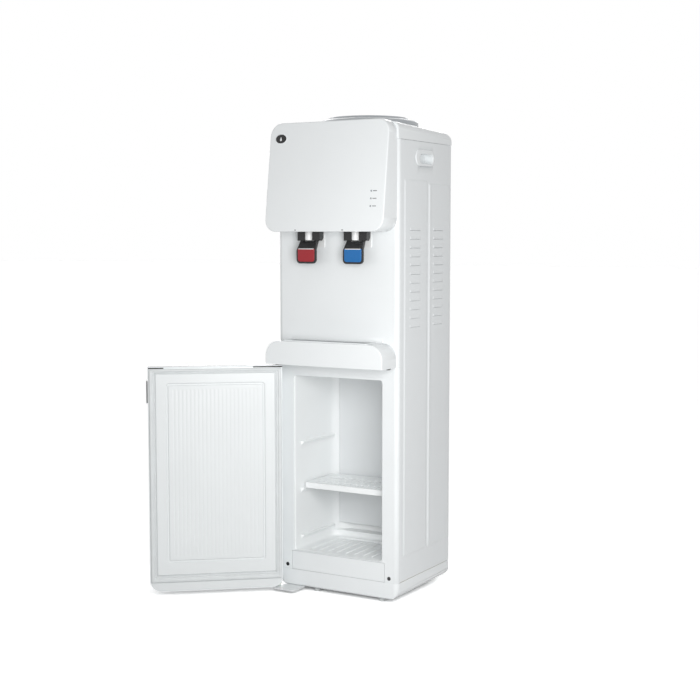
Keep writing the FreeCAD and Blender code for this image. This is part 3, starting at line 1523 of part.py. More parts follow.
def cord_gland():
    """Strain-relief gland for the mains lead."""
    y = rear_y
    flange = rod(11, (gland_x, y + rear_sheet, gland_z), (gland_x, y + rear_sheet + 2.5, gland_z))
    sleeve = rod(8, (gland_x, y - 8, gland_z), (gland_x, y + 12, gland_z))
    nut = rod(10.5, (gland_x, y - 5, gland_z), (gland_x, y, gland_z))
    gland = joined([flange, sleeve, nut])
    return gland.cut(rod(gland_bore, (gland_x, y - 10, gland_z), (gland_x, y + 20, gland_z)))


def drain_cap():
    """Screw cap on the boiler's drain spout."""
    start = rear_y + rear_sheet + 1.5
    end = rear_y + 16.5
    cap = rod(10, (hot_x, start, drain_z), (hot_x, end, drain_z))
    bore = rod(7 + running_gap, (hot_x, start - 1, drain_z), (hot_x, end - 4 + running_gap, drain_z))
    grips = []
    for index in range(12):
        angle = index * math.tau / 12
        x, z = hot_x + 10.6 * math.cos(angle), drain_z + 10.6 * math.sin(angle)
        grips.append(rod(1.3, (x, start - 1, z), (x, end + 2, z)))
    return cap.cut([bore] + grips)


def rear_screws():
    """Pan-head screws that hold the rear panel and the rear edge of the top cover."""
    screws = []
    low = base_top + screw_ends[0]
    step = (cover_seam - screw_ends[1] - low) / 4
    for x in (screw_margin - half_width, half_width - screw_margin):
        for z in (low + index * step for index in range(5)):
            head = rod(3.6, (x, rear_y + rear_sheet, z), (x, rear_y + rear_sheet + 2, z))
            screws.append(head)
    return screws


def all_parts():
    """Every node of the dispenser by name, as one solid or a list of solids."""
    side = side_skin()
    handle = side_handle()
    parts = {
        "base_pan": base_pan(),
        "rubber_feet": rubber_feet(),
        "right_side_panel": side,
        "left_side_panel": mirrored(side),
        "side_handles": [handle, mirrored(handle)],
        "rear_panel": rear_panel(),
        "rear_screws": rear_screws(),
        "top_cover": top_cover(),
        "bottle_collar": bottle_collar(),
        "bottle_funnel": bottle_funnel(),
        "piercing_spike": piercing_spike(),
        "head_housing": head_housing(),
        "head_face_plate": head_face_plate(),
        "indicator_lenses": indicator_lenses(),
        "indicator_board": indicator_board(),
        "drop_badge": drop_badge(),
        "dispensing_panel": dispensing_panel(),
        "ledge_housing": ledge_housing(),
        "drip_tray": drip_tray(),
        "drip_grille": drip_grille(),
        "front_frame": front_frame(),
        "inset_panel": inset_panel(),
        "hole_plugs": hole_plugs(),
        "cabinet_liner": cabinet_liner(),
        "cabinet_foam": cabinet_foam(),
        "evaporator_plate": evaporator_plate(),
        "shelf": shelf(),
        "door_hinges": [upper_hinge_pin(), lower_hinge_bracket()],
        "tap_bodies": [tap_body(-tap_x), tap_body(tap_x)],
        "tap_nozzles": [tap_nozzle(-tap_x), tap_nozzle(tap_x)],
        "hot_lever": tap_lever(-tap_x),
        "cold_lever": tap_lever(tap_x),
        "hot_insert": lever_insert(-tap_x),
        "cold_insert": lever_insert(tap_x),
        "lever_pins": lever_pins(),
        "cold_tank": cold_tank(),
        "cold_tank_jacket": cold_tank_jacket(),
        "baffle": baffle(),
        "cold_coil": cold_coil(),
        "machine_shelves": machine_shelves(),
        "hot_tank": hot_tank(),
        "hot_tank_jacket": hot_tank_jacket(),
        "compressor": compressor(),
        "compressor_mounts": compressor_mounts(),
        "condenser": condenser(),
        "water_tubes": water_tubes(),
        "switch_bezels": [switch_bezel(x) for x in switch_x],
        "hot_switch": rocker(switch_x[0]),
        "cold_switch": rocker(switch_x[1]),
        "thermostat": thermostat_base(),
        "thermostat_knob": thermostat_knob(),
        "cord_gland": cord_gland(),
        "drain_cap": drain_cap(),
    }
    door = {
        "door_shell": door_shell(),
        "door_foam": door_foam(),
        "door_liner": door_liner(),
        "door_gasket": door_gasket(),
        "door_top_cap": door_top_cap(),
        "door_grip": door_grip(),
    }
    for name, shape in door.items():
        parts[name] = swung_open(shape)
    parts["door_bushes"] = door_bushes()
    return parts


def main():
    os.makedirs(PARTS, exist_ok=True)
    for name, shape in all_parts().items():
        if isinstance(shape, list):
            shape = Part.makeCompound(shape)
        solids = shape.Solids
        volume = sum(solid.Volume for solid in solids)
        print(f"{name}: {len(solids)} solid(s), {volume / 1000:.1f} cm3, valid {shape.isValid()}")
        shape.exportStep(os.path.join(PARTS, f"{name}.step"))


main()
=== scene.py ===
import json
import math

import bpy
import numpy as np
from bpy.props import FloatProperty, FloatVectorProperty, IntProperty, PointerProperty
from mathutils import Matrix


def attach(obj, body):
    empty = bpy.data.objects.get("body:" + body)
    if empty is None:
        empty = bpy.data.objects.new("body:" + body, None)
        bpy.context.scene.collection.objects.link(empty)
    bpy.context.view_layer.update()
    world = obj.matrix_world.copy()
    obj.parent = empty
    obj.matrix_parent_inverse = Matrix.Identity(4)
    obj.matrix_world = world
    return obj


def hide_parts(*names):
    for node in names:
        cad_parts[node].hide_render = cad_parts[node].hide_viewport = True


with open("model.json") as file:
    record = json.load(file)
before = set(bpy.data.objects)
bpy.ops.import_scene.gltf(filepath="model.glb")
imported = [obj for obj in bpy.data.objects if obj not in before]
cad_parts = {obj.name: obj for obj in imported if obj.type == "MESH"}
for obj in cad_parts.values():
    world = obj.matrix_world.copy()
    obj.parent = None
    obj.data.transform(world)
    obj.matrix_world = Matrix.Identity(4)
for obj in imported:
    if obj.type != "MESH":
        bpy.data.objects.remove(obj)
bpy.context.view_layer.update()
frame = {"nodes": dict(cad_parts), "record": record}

bl_info = {
    "name": "Water dispenser with cold cabinet",
    "version": (1, 0, 0),
    "blender": (4, 5, 0),
    "location": "3D View > Sidebar > Dispenser",
    "description": "Surfaces and finishes of a bottle-fed hot and cold water dispenser",
    "category": "Object",
}

MM = 0.001

# Places in millimetres that pieces share with the solid model.
HEAD_LOW, HEAD_TOP = 797.0, 1030.0
HEAD_FRONT_LOW, HEAD_FRONT_TOP = -187.0, -157.0
HINGE = (-138.3, -147.3)
DOOR_OPEN = 140.5
BOTTLE_AXIS = (0.0, 10.0)
TAPS = {"hot": -58.0, "cold": 58.0}


# ---------------------------------------------------------------- grids and meshes

def grid_faces(rows, columns, close_rows=False, close_columns=False):
    """Quads between neighbouring rows and columns of a grid of points; a closed direction wraps."""
    row = np.arange(rows if close_rows else rows - 1)
    column = np.arange(columns if close_columns else columns - 1)
    i, k = np.meshgrid(row, column, indexing="ij")
    i2, k2 = (i + 1) % rows, (k + 1) % columns
    quads = np.stack([i * columns + k, i * columns + k2, i2 * columns + k2, i2 * columns + k], -1)
    return quads.reshape(-1, 4)


def signed_volume(points, faces):
    """Sum of the tetrahedra from the origin to each face's first triangle and the rest of its fan."""
    total = 0.0
    for face in faces:
        fan = points[np.asarray(face)]
        total += np.einsum("ij,ij->i", np.cross(fan[1:-1], fan[2:]), fan[:1].repeat(len(fan) - 2, 0)).sum()
    return total


def quad_volume(points, quads):
    """Six times the volume under quads, both triangles of each quad taken at once."""
    a, b, c, d = (points[quads[:, n]] for n in range(4))
    return (np.einsum("ij,ij->i", np.cross(b, c), a) + np.einsum("ij,ij->i", np.cross(c, d), a)).sum()


def facing(points, quads, direction):
    """Sum of the quads' normals along a direction."""
    a, b, c, d = (points[quads[:, n]] for n in range(4))
    return float((np.cross(c - a, d - b) @ np.asarray(direction, float)).sum())


def add_piece(name, body, points, quads, finish, caps=(), towards=None, sharp=38.0, instead_of=()):
    """Makes one piece from points in millimetres, quads and flat caps, and puts it on a body.

    A closed piece is turned so that its volume is positive; an open one so that it faces towards.
    Points on the door, and what they face, are given for the shut door.
    """
    points = np.asarray(points, float).reshape(-1, 3)
    quads = np.asarray(quads, int)
    caps = [list(map(int, cap)) for cap in caps]
    if towards is None:
        middle = points - points.mean(0)
        inside_out = quad_volume(middle, quads) + signed_volume(middle, caps) < 0
    else:
        inside_out = facing(points, quads, towards) < 0
    if inside_out:
        quads = quads[:, ::-1]
        caps = [cap[::-1] for cap in caps]
    if body == "door":
        points = swung(points)
    mesh = bpy.data.meshes.new(name)
    mesh.from_pydata((points * MM).tolist(), [], quads.tolist() + caps)
    mesh.validate()
    mesh.shade_smooth()
    mesh.set_sharp_from_angle(angle=math.radians(sharp))
    mesh.materials.append(FINISHES[finish])
    piece = bpy.data.objects.new(name, mesh)
    bpy.context.collection.objects.link(piece)
    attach(piece, body)
    if instead_of:
        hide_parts(*instead_of)
    return piece


def add_rings(name, body, stacks, finish, joined=False, **options):
    """Piece from one or more equal stacks of closed rings: joined end to end, open on a side, or capped."""
    stacks = np.asarray(stacks, float).reshape(-1, *stacks.shape[-3:])
    rows, columns = stacks.shape[1:3]
    quads = grid_faces(rows, columns, close_rows=joined, close_columns=True)
    caps = [] if joined or "towards" in options else loop_caps(stacks[0])
    starts = np.arange(len(stacks)) * rows * columns
    return add_piece(name, body, stacks, np.vstack([quads + start for start in starts]), finish,
                     [[start + n for n in cap] for start in starts for cap in caps], **options)


def ease(t):
    """Smooth step: 3t^2 - 2t^3 of t held between 0 and 1."""
    t = np.clip(t, 0.0, 1.0)
    return t * t * (3.0 - 2.0 * t)


def rounded_path(points, radius, steps=5):
    """Path through points whose inner corners become quadratic curves, each starting radius before it."""
    points = np.asarray(points, float)
    before, corner, after = points[:-2], points[1:-1], points[2:]
    radius = np.broadcast_to(np.asarray(radius, float), (len(corner),))[:, None]
    back, ahead = before - corner, after - corner
    back_length = np.linalg.norm(back, axis=1, keepdims=True)
    ahead_length = np.linalg.norm(ahead, axis=1, keepdims=True)
    enter = corner + back * np.minimum(radius / back_length, 0.5)
    leave = corner + ahead * np.minimum(radius / ahead_length, 0.5)
    t = np.linspace(0.0, 1.0, steps + 1)[None, :, None]
    bends = (1 - t) ** 2 * enter[:, None] + 2 * t * (1 - t) * corner[:, None] + t ** 2 * leave[:, None]
    path = np.vstack([points[:1], bends.reshape(-1, points.shape[1]), points[-1:]])
    keep = np.r_[True, np.linalg.norm(np.diff(path, axis=0), axis=1) > 1e-4]
    return path[keep]


def turned(profile, centre, segments=128):
    """Points of a profile (radius, height) turned round an upright axis: (r cos a, r sin a, h)."""
    profile = np.asarray(profile, float)
    angle = np.linspace(0.0, math.tau, segments, endpoint=False)
    radius, height = profile[:, :1], profile[:, 1:]
    x = centre[0] + radius * np.cos(angle)
    y = centre[1] + radius * np.sin(angle)
    return np.stack([x, y, np.broadcast_to(height, x.shape)], -1)


def rectangle_loop(x0, x1, z0, z1, radii, steps=10):
    """Closed loop round a rectangle, each corner a quarter circle of its own radius."""
    corners = ((x0, z0, 1, 1, 180), (x1, z0, -1, 1, 270), (x1, z1, -1, -1, 0), (x0, z1, 1, -1, 90))
    turn = np.linspace(0.0, 90.0, steps)
    parts = []
    for (x, z, dx, dz, start), radius in zip(corners, radii):
        radius = max(radius, 0.05)
        angle = np.radians(start + turn)
        parts.append(np.stack([x + dx * radius + radius * np.cos(angle),
                               z + dz * radius + radius * np.sin(angle)], -1))
    return np.vstack(parts)


def rim_rings(box, radii, profile, steps=10):
    """Rings (x, h, z): for each (inset, h) of a profile, the rectangle's loop drawn in by the inset."""
    x0, x1, z0, z1 = box
    rings = []
    for inset, height in profile:
        loop = rectangle_loop(x0 + inset, x1 - inset, z0 + inset, z1 - inset,
                              [radius - inset for radius in radii], steps)
        rings.append(np.column_stack([loop[:, 0], np.full(len(loop), height), loop[:, 1]]))
    return np.array(rings)


def loop_caps(rings):
    """Flat faces that close the first and the last ring of a stack of rings."""
    count = rings.shape[1]
    last = (rings.shape[0] - 1) * count
    return [list(range(count))[::-1], list(range(last, last + count))]


def blended_rings(outer, inner, profile):
    """Rings between two loops: for each (share, h), outer + share * (inner - outer), at height h."""
    share = np.array([row[0] for row in profile])[:, None, None]
    height = np.array([row[1] for row in profile])[:, None]
    flat = outer[None] + share * (inner - outer)[None]
    return np.stack([flat[..., 0], np.broadcast_to(height, flat.shape[:2]), flat[..., 1]], -1)


def inside_distance(x, z, box, radius):
    """How far a point lies inside a rectangle with rounded corners; negative outside."""
    x0, x1, z0, z1 = box
    qx = np.abs(x - (x0 + x1) / 2) - (x1 - x0) / 2 + radius
    qz = np.abs(z - (z0 + z1) / 2) - (z1 - z0) / 2 + radius
    outside = np.hypot(np.maximum(qx, 0), np.maximum(qz, 0))
    return -(np.minimum(np.maximum(qx, qz), 0) + outside - radius)


def lines_near(stops, reach, step, low, high, coarse):
    """Sorted grid lines from low to high: coarse ones, and fine ones within reach of each stop."""
    fine = [np.arange(-reach, reach + step / 2, step) + stop for stop in stops]
    lines = np.concatenate([np.linspace(low, high, coarse), *fine])
    lines = np.unique(np.round(np.clip(lines, low, high), 3))
    return lines[np.r_[True, np.diff(lines) > step * 0.3]]


def swung(points):
    """Turns points of the shut door about its pins, to where the open door stands."""
    angle = math.radians(-DOOR_OPEN)
    x, y = points[:, 0] - HINGE[0], points[:, 1] - HINGE[1]
    return np.column_stack([HINGE[0] + x * math.cos(angle) - y * math.sin(angle),
                            HINGE[1] + x * math.sin(angle) + y * math.cos(angle), points[:, 2]])


def head_front(z):
    """Y of the head's leaning front at a height: a straight line between its foot and its top."""
    share = (z - HEAD_LOW) / (HEAD_TOP - HEAD_LOW)
    return HEAD_FRONT_LOW + share * (HEAD_FRONT_TOP - HEAD_FRONT_LOW)


# ---------------------------------------------------------------- finishes

class Finish:
    """A material that is put together node by node, with patterns on Object coordinates."""

    def __init__(self, name, colour, roughness, metallic=0.0, ior=1.5):
        self.material = bpy.data.materials.new(name)
        self.material.use_nodes = True
        self.nodes = self.material.node_tree.nodes
        self.links = self.material.node_tree.links
        self.shader = self.nodes["Principled BSDF"]
        self.colour = tuple(colour)[:3] + (1.0,)
        self.set("Base Color", self.colour)
        self.set("Roughness", roughness)
        self.set("Metallic", metallic)
        self.set("IOR", ior)
        self.roughness = roughness
        self.place = self.nodes.new("ShaderNodeTexCoord").outputs["Object"]
        self.bumps = None

    def set(self, socket, value):
        """Sets a value on the shader's own socket."""
        self.shader.inputs[socket].default_value = value
        return self

    def stretched(self, scale):
        """Object coordinates multiplied along each axis."""
        mapping = self.nodes.new("ShaderNodeMapping")
        mapping.inputs["Scale"].default_value = scale
        self.links.new(self.place, mapping.inputs["Vector"])
        return mapping.outputs["Vector"]

    def noise(self, scale, detail=3.0, stretch=None):
        """Noise with features of about 1/scale metres."""
        node = self.nodes.new("ShaderNodeTexNoise")
        node.inputs["Scale"].default_value = scale
        node.inputs["Detail"].default_value = detail
        self.links.new(self.stretched(stretch) if stretch else self.place, node.inputs["Vector"])
        return node.outputs["Fac"]

    def cells(self, scale, output="Distance"):
        """Voronoi cells of about 1/scale metres."""
        node = self.nodes.new("ShaderNodeTexVoronoi")
        node.inputs["Scale"].default_value = scale
        self.links.new(self.place, node.inputs["Vector"])
        return node.outputs[output]

    def shaded(self, pattern, spread, warm=0.0):
        """Base colour that wanders by a share of itself with a pattern."""
        ramp = self.nodes.new("ShaderNodeValToRGB")
        low = [max(c * (1 - spread) - warm * (i == 2) * 0.5, 0) for i, c in enumerate(self.colour[:3])]
        high = [min(c * (1 + spread * 0.5), 1) for c in self.colour[:3]]
        ramp.color_ramp.elements[0].color = (*low, 1)
        ramp.color_ramp.elements[1].color = (*high, 1)
        ramp.color_ramp.elements[0].position = 0.3
        ramp.color_ramp.elements[1].position = 0.7
        self.links.new(pattern, ramp.inputs["Fac"])
        self.links.new(ramp.outputs["Color"], self.shader.inputs["Base Color"])
        return self

    def rubbed(self, pattern, spread):
        """Roughness that wanders by an amount with a pattern."""
        span = self.nodes.new("ShaderNodeMapRange")
        span.inputs["To Min"].default_value = max(self.roughness - spread, 0.02)
        span.inputs["To Max"].default_value = min(self.roughness + spread, 1.0)
        self.links.new(pattern, span.inputs["Value"])
        self.links.new(span.outputs["Result"], self.shader.inputs["Roughness"])
        return self

    def bumped(self, pattern, height, strength=0.5):
        """Bump of a height in metres; a second call lies on top of the first."""
        bump = self.nodes.new("ShaderNodeBump")
        bump.inputs["Distance"].default_value = height
        bump.inputs["Strength"].default_value = strength
        self.links.new(pattern, bump.inputs["Height"])
        if self.bumps is not None:
            self.links.new(self.bumps, bump.inputs["Normal"])
        self.bumps = bump.outputs["Normal"]
        self.links.new(self.bumps, self.shader.inputs["Normal"])
        return self


def glossy_moulding(name, colour, roughness=0.2):
    """Glossy injection-moulded plastic: faint waviness under a fine orange peel."""
    finish = Finish(name, colour, roughness, ior=1.52)
    finish.shaded(finish.noise(9.0, 2.0), 0.012)
    finish.rubbed(finish.noise(35.0, 4.0), 0.035)
    finish.bumped(finish.noise(60.0, 2.0), 0.00006, 0.25)
    finish.bumped(finish.noise(900.0, 2.0), 0.000012, 0.3)
    return finish.material


def satin_moulding(name, colour, roughness=0.42, grain=1400.0):
    """Satin plastic with a fine spark-eroded grain."""
    finish = Finish(name, colour, roughness, ior=1.5)
    finish.shaded(finish.noise(14.0, 3.0), 0.02)
    finish.rubbed(finish.noise(60.0, 3.0), 0.05)
    finish.bumped(finish.noise(grain, 2.0), 0.00003, 0.4)
    return finish.material


def drawn_sheet(name, colour, roughness=0.33):
    """Vacuum-formed sheet: slight waves where it was stretched, and a soft sheen."""
    finish = Finish(name, colour, roughness, ior=1.5)
    finish.shaded(finish.noise(11.0, 2.0), 0.015)
    finish.bumped(finish.noise(26.0, 1.0), 0.00025, 0.3)
    finish.bumped(finish.noise(700.0, 2.0), 0.00002, 0.3)
    return finish.material


def enamelled_steel(name, colour, roughness=0.3):
    """Powder-coated sheet steel: fine peel and a trace of long waves from rolling."""
    finish = Finish(name, colour, roughness, ior=1.5)
    finish.shaded(finish.noise(7.0, 2.0, (1.0, 1.0, 0.3)), 0.012)
    finish.rubbed(finish.noise(80.0, 3.0), 0.04)
    finish.bumped(finish.noise(5.0, 1.0, (1.0, 1.0, 0.35)), 0.0006, 0.2)
    finish.bumped(finish.noise(1100.0, 3.0), 0.000025, 0.4)
    return finish.material


def brushed_metal(name, colour, roughness=0.3, stretch=(40.0, 40.0, 1.0)):
    """Bare metal with fine lines along one axis."""
    finish = Finish(name, colour, roughness, metallic=1.0)
    lines = finish.noise(60.0, 4.0, stretch)
    finish.shaded(lines, 0.06)
    finish.rubbed(lines, 0.09)
    finish.bumped(lines, 0.00001, 0.4)
    return finish.material


def spangled_zinc(name, colour):
    """Galvanised sheet: crystal spangle in colour and gloss."""
    finish = Finish(name, colour, 0.42, metallic=0.85)
    spangle = finish.cells(160.0, "Color")
    finish.shaded(spangle, 0.10)
    finish.rubbed(spangle, 0.10)
    finish.bumped(finish.noise(500.0, 3.0), 0.00001, 0.3)
    return finish.material


def soft_rubber(name, colour, roughness=0.6):
    """Rubber or soft vinyl: dull, with a fine skin and a little bloom."""
    finish = Finish(name, colour, roughness, ior=1.48)
    finish.shaded(finish.noise(45.0, 4.0), 0.04)
    finish.rubbed(finish.noise(25.0, 3.0), 0.06)
    finish.bumped(finish.noise(1600.0, 3.0), 0.00003, 0.4)
    return finish.material


def blown_foam(name, colour):
    """Rigid foam: small pale cells."""
    finish = Finish(name, colour, 0.85)
    cells = finish.cells(420.0)
    finish.shaded(cells, 0.10, warm=0.1)
    finish.bumped(cells, 0.0005, 0.6)
    return finish.material


def printed_board(name, colour):
    """Circuit board: solder mask with a regular pattern of tracks."""
    finish = Finish(name, colour, 0.35)
    tracks = finish.nodes.new("ShaderNodeTexBrick")
    tracks.inputs["Scale"].default_value = 180.0
    finish.links.new(finish.place, tracks.inputs["Vector"])
    finish.bumped(tracks.outputs["Fac"], 0.0001, 0.5)
    finish.shaded(tracks.outputs["Fac"], 0.3)
    return finish.material


def milky_plastic(name, colour, roughness=0.3):
    """Unpigmented plastic that lets some light in."""
    finish = Finish(name, colour, roughness)
    finish.set("Subsurface Weight", 0.25).set("Subsurface Scale", 0.004)
    finish.shaded(finish.noise(20.0, 3.0), 0.03)
    finish.bumped(finish.noise(400.0, 2.0), 0.00004, 0.3)
    return finish.material


# ---------------------------------------------------------------- settings

def colour_setting(name, description, default):
    """A colour that the user can change."""
    return FloatVectorProperty(name=name, description=description, default=default, size=3,
                               min=0.0, max=1.0, subtype="COLOR")


def length_setting(name, description, millimetres, low=0.0, high=400.0):
    """A length that the user can change, kept in metres."""
    return FloatProperty(name=name, description=description, default=millimetres * MM,
                         min=low * MM, max=high * MM, unit="LENGTH", precision=5)


def strength_setting(name, description, default, high=20.0):
    """A strength or a grey value that the user can change."""
    return FloatProperty(name=name, description=description, default=default, min=0.0, max=high)


class DispenserColours(bpy.types.PropertyGroup):
    """Colours of the dispenser's finishes."""
    front: colour_setting("Front", "Glossy mouldings of the front and door", (0.835, 0.86, 0.868))
    side: colour_setting("Side", "Enamelled side panels", (0.80, 0.825, 0.835))
    # The collar's grey is partly its own colour and partly painted shade: set darker than the plastic so its
    # upward faces look shaded.
    collar: colour_setting("Collar", "Bottle collar on the top", (0.53, 0.56, 0.585))
    # The cavity's white is set lighter than the front mouldings: painted light that makes up for the shade
    # inside the cabinet.
    cavity: colour_setting("Cavity", "Tub and shelf", (0.93, 0.95, 0.953))
    door_panel: colour_setting("Door panel", "Inner door panel", (0.775, 0.80, 0.805))
    seal: colour_setting("Seal", "Door seal", (0.70, 0.725, 0.73))
    strip: colour_setting("Strip", "Strip along the door's top", (0.055, 0.047, 0.043))
    hot: colour_setting("Hot", "Hot tap's insert", (0.32, 0.008, 0.016))
    cold: colour_setting("Cold", "Cold tap's insert", (0.002, 0.13, 0.39))
    black: colour_setting("Black", "Levers, plugs and small dark parts", (0.012, 0.012, 0.013))


class DispenserSizes(bpy.types.PropertyGroup):
    """Sizes of surface details."""
    edge: length_setting("Edge", "Rounding of moulded edges", 0.7, 0.1, 2.0)
    head_rim: length_setting("Head rim", "Rounding of the head plate's border", 2.4, 0.5, 2.9)
    field_rise: length_setting("Field rise", "How far the pressed fields stand out", 1.5, 0.2, 1.8)
    field_slope: length_setting("Field slope", "Width of the pressed fields' sloping border", 5.5, 0.8, 9.0)
    hood_rise: length_setting("Louvre rise", "How far each louvre's hood stands out", 1.35, 0.2, 1.4)
    hood_reach: length_setting("Louvre reach", "Height over which a hood fades out", 6.4, 2.0, 9.0)
    groove_width: length_setting("Door groove", "Width of the inner door panel's groove", 4.0, 1.0, 8.0)
    flute_depth: length_setting("Flute depth", "Depth of the inner door panel's flutes", 0.4, 0.1, 2.0)
    rail_rise: length_setting("Rail rise", "How far the shelf rails stand out", 5.0, 2.0, 6.0)
    flutes: IntProperty(name="Flutes", description="Upright flutes on the inner door panel",
                        default=22, min=4, max=60)
    turns: IntProperty(name="Turning steps", description="Steps round turned pieces", default=128, min=24,
                       max=256)


class StageSettings(bpy.types.PropertyGroup):
    """Light, floor and camera."""
    key_power: FloatProperty(name="Key light", description="Power of the soft light at the front's right",
                             default=10.6, min=0.0, unit="POWER")
    front_sun: strength_setting("Front light", "Strength of the wide even light from the front", 0.22)
    back_sun: strength_setting("Back light", "Strength of the wide light on the back", 0.9)
    horizon: strength_setting("Horizon", "Strength of the surroundings at eye level", 0.60)
    zenith: strength_setting("Zenith", "Strength of the surroundings overhead", 0.40)
    floor_shade: strength_setting("Floor shade", "Colour of the floor as the lights see it", 0.55, 1.0)
    floor_mirrored: strength_setting("Floor mirrored", "Colour of the floor in glossy surfaces", 1.8)
    floor_seen: strength_setting("Floor seen", "Colour of the floor as the camera sees it", 2.05)
    focal_length: FloatProperty(name="Focal length", description="Camera lens", default=67.27, min=10.0,
                                unit="CAMERA")


# ---------------------------------------------------------------- finishes by slot

def build_finishes(colours):
    """All finishes, by the record's slot names and a few names of their own."""
    looks = {
        "white_shell": (glossy_moulding, "gloss", colours.front),
        "side_enamel": (enamelled_steel, "coat", colours.side),
        "collar_grey": (glossy_moulding, "gloss", colours.collar, 0.3),
        "cavity_white": (drawn_sheet, "sheet", colours.cavity),
        "door_panel": (drawn_sheet, "sheet", colours.door_panel),
        "shelf_white": (satin_moulding, "satin", colours.cavity, 0.36),
        "seal_grey": (soft_rubber, "vinyl", colours.seal, 0.5),
        "dark_strip": (satin_moulding, "satin", colours.strip, 0.34),
        "grip_grey": (satin_moulding, "satin", (0.05, 0.05, 0.052), 0.4),
        "black_plastic": (satin_moulding, "satin", colours.black, 0.22),
        "red_plastic": (glossy_moulding, "gloss", colours.hot, 0.25),
        "blue_plastic": (glossy_moulding, "gloss", colours.cold, 0.25),
        "spout_white": (glossy_moulding, "gloss", (0.84, 0.85, 0.85), 0.25),
        "natural_plastic": (milky_plastic, "milky", (0.74, 0.75, 0.72)),
        "foam": (blown_foam, "cells", (0.82, 0.70, 0.40)),
        "black_rubber": (soft_rubber, "dull", (0.02, 0.02, 0.02), 0.7),
        "pale_rubber": (soft_rubber, "dull", (0.66, 0.68, 0.68), 0.5),
        "white_steel": (enamelled_steel, "coat", (0.76, 0.78, 0.785), 0.3),
        "bright_steel": (brushed_metal, "lines", (0.62, 0.62, 0.61)),
        "zinc_sheet": (spangled_zinc, "spangle", (0.50, 0.52, 0.53)),
        "black_enamel": (enamelled_steel, "coat", (0.012, 0.012, 0.013), 0.28),
        "aluminium_plate": (enamelled_steel, "coat", (0.74, 0.76, 0.77), 0.36),
        "copper_tube": (brushed_metal, "lines", (0.60, 0.27, 0.16), 0.32, (1.0, 1.0, 40.0)),
        "silicone": (milky_plastic, "milky", (0.72, 0.75, 0.76), 0.4),
        "badge_dark": (glossy_moulding, "gloss", (0.006, 0.006, 0.007), 0.16),
        "mark_grey": (satin_moulding, "satin", (0.16, 0.17, 0.175), 0.5),
        "grip_pale": (satin_moulding, "satin", (0.34, 0.35, 0.35), 0.4),
        "lens_clear": (milky_plastic, "milky", (0.34, 0.36, 0.37), 0.15),
        "board_green": (printed_board, "mask", (0.01, 0.07, 0.02)),
        "grille_grey": (satin_moulding, "satin", (0.50, 0.52, 0.53), 0.38),
    }
    return {slot: build(f"{slot}_{suffix}", *values) for slot, (build, suffix, *values) in looks.items()}


FINISHES = {}
OWN_FINISHES = {"door_grip": "grip_pale"}
EDGED = {
    "base_pan": 1.2, "top_cover": 0.5, "head_housing": 0.5, "dispensing_panel": 0.6, "ledge_housing": 0.6,
    "drip_tray": 0.4, "drip_grille": 0.4, "front_frame": 0.7, "inset_panel": 0.6, "shelf": 0.7,
    "door_shell": 0.6, "door_grip": 0.6, "hot_lever": 0.8, "cold_lever": 0.8,
    "tap_bodies": 0.5, "evaporator_plate": 0.4, "compressor": 0.8, "switch_bezels": 0.5,
    "hot_switch": 0.4, "cold_switch": 0.4, "thermostat_knob": 0.3, "cord_gland": 0.4, "drain_cap": 0.4,
    "door_hinges": 0.3, "machine_shelves": 0.3, "indicator_board": 0.2,
}


class DISPENSER_OT_finishes(bpy.types.Operator):
    """Makes the finishes and puts them on the solid model's own nodes, with softened edges"""
    bl_idname = "dispenser.finishes"
    bl_label = "Finishes and edges"

    def execute(self, context):
        """Gives each node its slot's finish, and a merge and a bevel by angle where its edges show."""
        FINISHES.update(build_finishes(context.scene.dispenser_colours))
        slots = {part["node"]: part["material_slot"] for part in frame["record"]["subparts"]}
        for name, node in frame["nodes"].items():
            finish = FINISHES[OWN_FINISHES.get(name, slots[name])]
            if not node.data.materials:
                node.data.materials.append(finish)
            for index in range(len(node.data.materials)):
                node.data.materials[index] = finish
            if name in EDGED:
                weld = node.modifiers.new("Merged corners", "WELD")
                weld.merge_threshold = 1e-5
                bevel = node.modifiers.new("Soft edges", "BEVEL")
                bevel.width = EDGED[name] * MM
                bevel.segments = 2
                bevel.limit_method = "ANGLE"
                bevel.angle_limit = math.radians(40)
                bevel.harden_normals = False
        return {"FINISHED"}


# ---------------------------------------------------------------- head

class DISPENSER_OT_head_plate(bpy.types.Operator):
    """Leaning glossy plate of the head, with a rounded border"""
    bl_idname = "dispenser.head_plate"
    bl_label = "Head plate"

    def execute(self, context):
        """Rings of the head's outline, drawn in along a quarter circle; y adds the lean at each height."""
        rim = context.scene.dispenser_sizes.head_rim / MM
        turn = np.radians(np.linspace(0, 90, 9))
        edge = np.column_stack([rim - rim * np.cos(turn), rim - rim * np.sin(turn)])
        profile = np.vstack([[0.0, 3.0], edge, [rim + 2.0, 0.0], [rim + 12.0, 0.0]])
        rings = rim_rings((-146.0, 146.0, HEAD_LOW, HEAD_TOP), (28.0,) * 4, profile, 18)
        points = rings.copy()
        points[..., 1] = rings[..., 1] + head_front(rings[..., 2])
        add_rings("head_plate", "cabinet", points, "white_shell", instead_of=("head_face_plate",))
        return {"FINISHED"}


